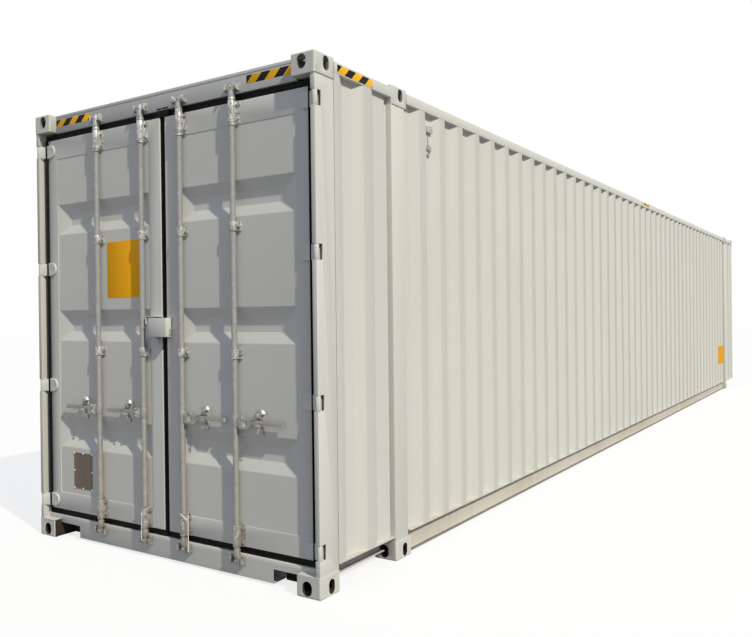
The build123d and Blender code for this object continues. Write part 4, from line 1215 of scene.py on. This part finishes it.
class CONTAINER_OT_markings(bpy.types.Operator):
    """Stick on the striped sheets and the plain orange sheet, and rivet on the bare data plate"""

    bl_idname = "container.markings"
    bl_label = "Sheets and plate"

    def execute(self, context):
        long = context.scene.container_sizes.stripe_long
        face = HEADER[0].y
        for side, way in SIDES:
            left, right = across(way, 0.697, 0.697 + long + 0.005)
            piece = plate(f"{side}_header_stripes", (left, face - 0.0005, 2.811), (right, face + 0.0005, 2.859), 0.002)
            fit_out(piece, "box", "stripes across")
            left, right = across(way, RAIL_SIDE - 0.0015, RAIL_SIDE)
            for index, (start, low, high) in enumerate(((DOOR_END + 0.205, 2.820, 2.866), (-0.134, 2.837, 2.862))):
                piece = plate(f"{side}_rail_stripes_{index}", (left, start, low), (right, start + long, high), 0.002)
                fit_out(piece, "box", "stripes along")
        sheet = plate("orange_sheet", (-0.538, PANEL_FACE - 0.0008, 1.629), (-0.224, PANEL_FACE + 0.0005, 1.994),
                      0.012, 0.0003)
        fit_out(sheet, "left_door", "orange")
        self.data_plate()
        return {"FINISHED"}

    def data_plate(self):
        """Press a shallow raised border round a bare plate and rivet it on."""
        front = PANEL_FACE - 0.0022
        low, high = Vector((-0.908, front, 0.348)), Vector((-0.717, PANEL_FACE, 0.590))
        bare = start_box("data_plate", low, high)
        pick(bare, "faces", lambda _, normal: normal.y < -0.9)
        bpy.ops.mesh.inset(thickness=0.006)
        bpy.ops.transform.translate(value=(0, 0.0008, 0))
        object_mode()
        round_edges(bare, 0.0004, 1, 30)
        fit_out(bare, "left_door", "plate")
        middle = (low + high) / 2
        xs = (low.x + 0.004, middle.x, high.x - 0.004)
        zs = (low.z + 0.004, middle.z, high.z - 0.004)
        rivet = dome((0, front + 0.0005, 0), OUT, 0.0065, 0.003)
        moves = [(x, 0, z) for x in xs for z in zs if (x, z) != (xs[1], zs[1])]
        fit_out(repeat("data_plate_rivets", rivet, moves), "left_door", "rivet")
        delete(rivet)


class CONTAINER_OT_trim(bpy.types.Operator):
    """Fit the seal straps, the bent plate beside the lock box and the corner flaps of the seals"""

    bl_idname = "container.trim"
    bl_label = "Small trim"

    def execute(self, context):
        straps = (
            ("left", ((-0.100, 0.331), (-0.128, 0.318), (-0.178, 0.262), (-0.186, 0.110)),
             ((-0.183, 0.283), (-0.178, 0.262), (-0.170, 0.258))),
            ("right", ((0.163, 0.322), (0.205, 0.300), (0.231, 0.288), (0.230, 0.106)),
             ((0.232, 0.330), (0.232, 0.300), (0.231, 0.288))),
        )
        for side, *runs in straps:
            wires = [wire([(x, DOOR_END + 0.008, z) for x, z in run], 0.0028) for run in runs]
            fit_out(join(f"{side}_seal_strap", wires), f"{side}_door", "seal strap")

        face = LEAF_FACE
        shelf = plate("shelf", (-0.136, face - 0.034, 1.503), (-0.006, face, 1.508), 0.004, 0.001)
        cheek = plate("cheek", (-0.136, face - 0.034, 1.460), (-0.131, face, 1.508), 0.004, 0.001)
        fit_out(join("lock_shelf", [shelf, cheek]), "left_door", "paint")
        lug = plate("lock_lug", (-0.082, face - 0.012, 1.336), (-0.040, face, 1.372), 0.006, 0.001)
        fit_out(lug, "left_door", "paint")

        eyes = [ring((0.0655, DOOR_END + 0.036, z), (0.0690, DOOR_END + 0.036, z), 0.009, 0.005, 0.0008)
                for z in (1.396, 1.420)]
        fit_out(join("lock_box_eyes", eyes), "right_door", "new zinc")
        for side, low, high in (("left", -0.045, -0.0035), ("right", 0.0035, 0.060)):
            flap = start_box(f"{side}_seal_flap", (low, face + 0.001, LEAF[1].z + 0.001), (high, face + 0.006, 2.7715))
            extrude(flap, "faces", lambda _, normal: normal.z > 0.9, (0, -0.0045, 0.0115))
            object_mode()
            fit_out(flap, f"{side}_door", "rubber", width=0.0012, angle=20, shade=40)
        return {"FINISHED"}


class CONTAINER_PT_panel(bpy.types.Panel):
    """Sidebar panel with the container's sizes, colours and steps"""

    bl_idname = "CONTAINER_PT_panel"
    bl_label = "Freight container"
    bl_space_type = "VIEW_3D"
    bl_region_type = "UI"
    bl_category = "Container"

    def draw(self, context):
        for group in (context.scene.container_sizes, context.scene.container_colours):
            box = self.layout.box()
            for key in group.__annotations__:
                box.prop(group, key)
        for step in STEPS:
            self.layout.operator(step.bl_idname)


STEPS = (
    CONTAINER_OT_stage, CONTAINER_OT_castings, CONTAINER_OT_frame, CONTAINER_OT_walls, CONTAINER_OT_roof,
    CONTAINER_OT_floor, CONTAINER_OT_doors, CONTAINER_OT_seals, CONTAINER_OT_hinges, CONTAINER_OT_gear,
    CONTAINER_OT_catches, CONTAINER_OT_markings, CONTAINER_OT_trim,
)
CLASSES = (ContainerSizes, ContainerColours, *STEPS, CONTAINER_PT_panel)


def register():
    for entry in CLASSES:
        bpy.utils.register_class(entry)
    bpy.types.Scene.container_sizes = PointerProperty(type=ContainerSizes)
    bpy.types.Scene.container_colours = PointerProperty(type=ContainerColours)


def unregister():
    del bpy.types.Scene.container_colours
    del bpy.types.Scene.container_sizes
    for entry in reversed(CLASSES):
        bpy.utils.unregister_class(entry)


def main():
    register()
    for step in STEPS:
        group, action = step.bl_idname.split(".")
        getattr(getattr(bpy.ops, group), action)()


if __name__ == "__main__":
    main()
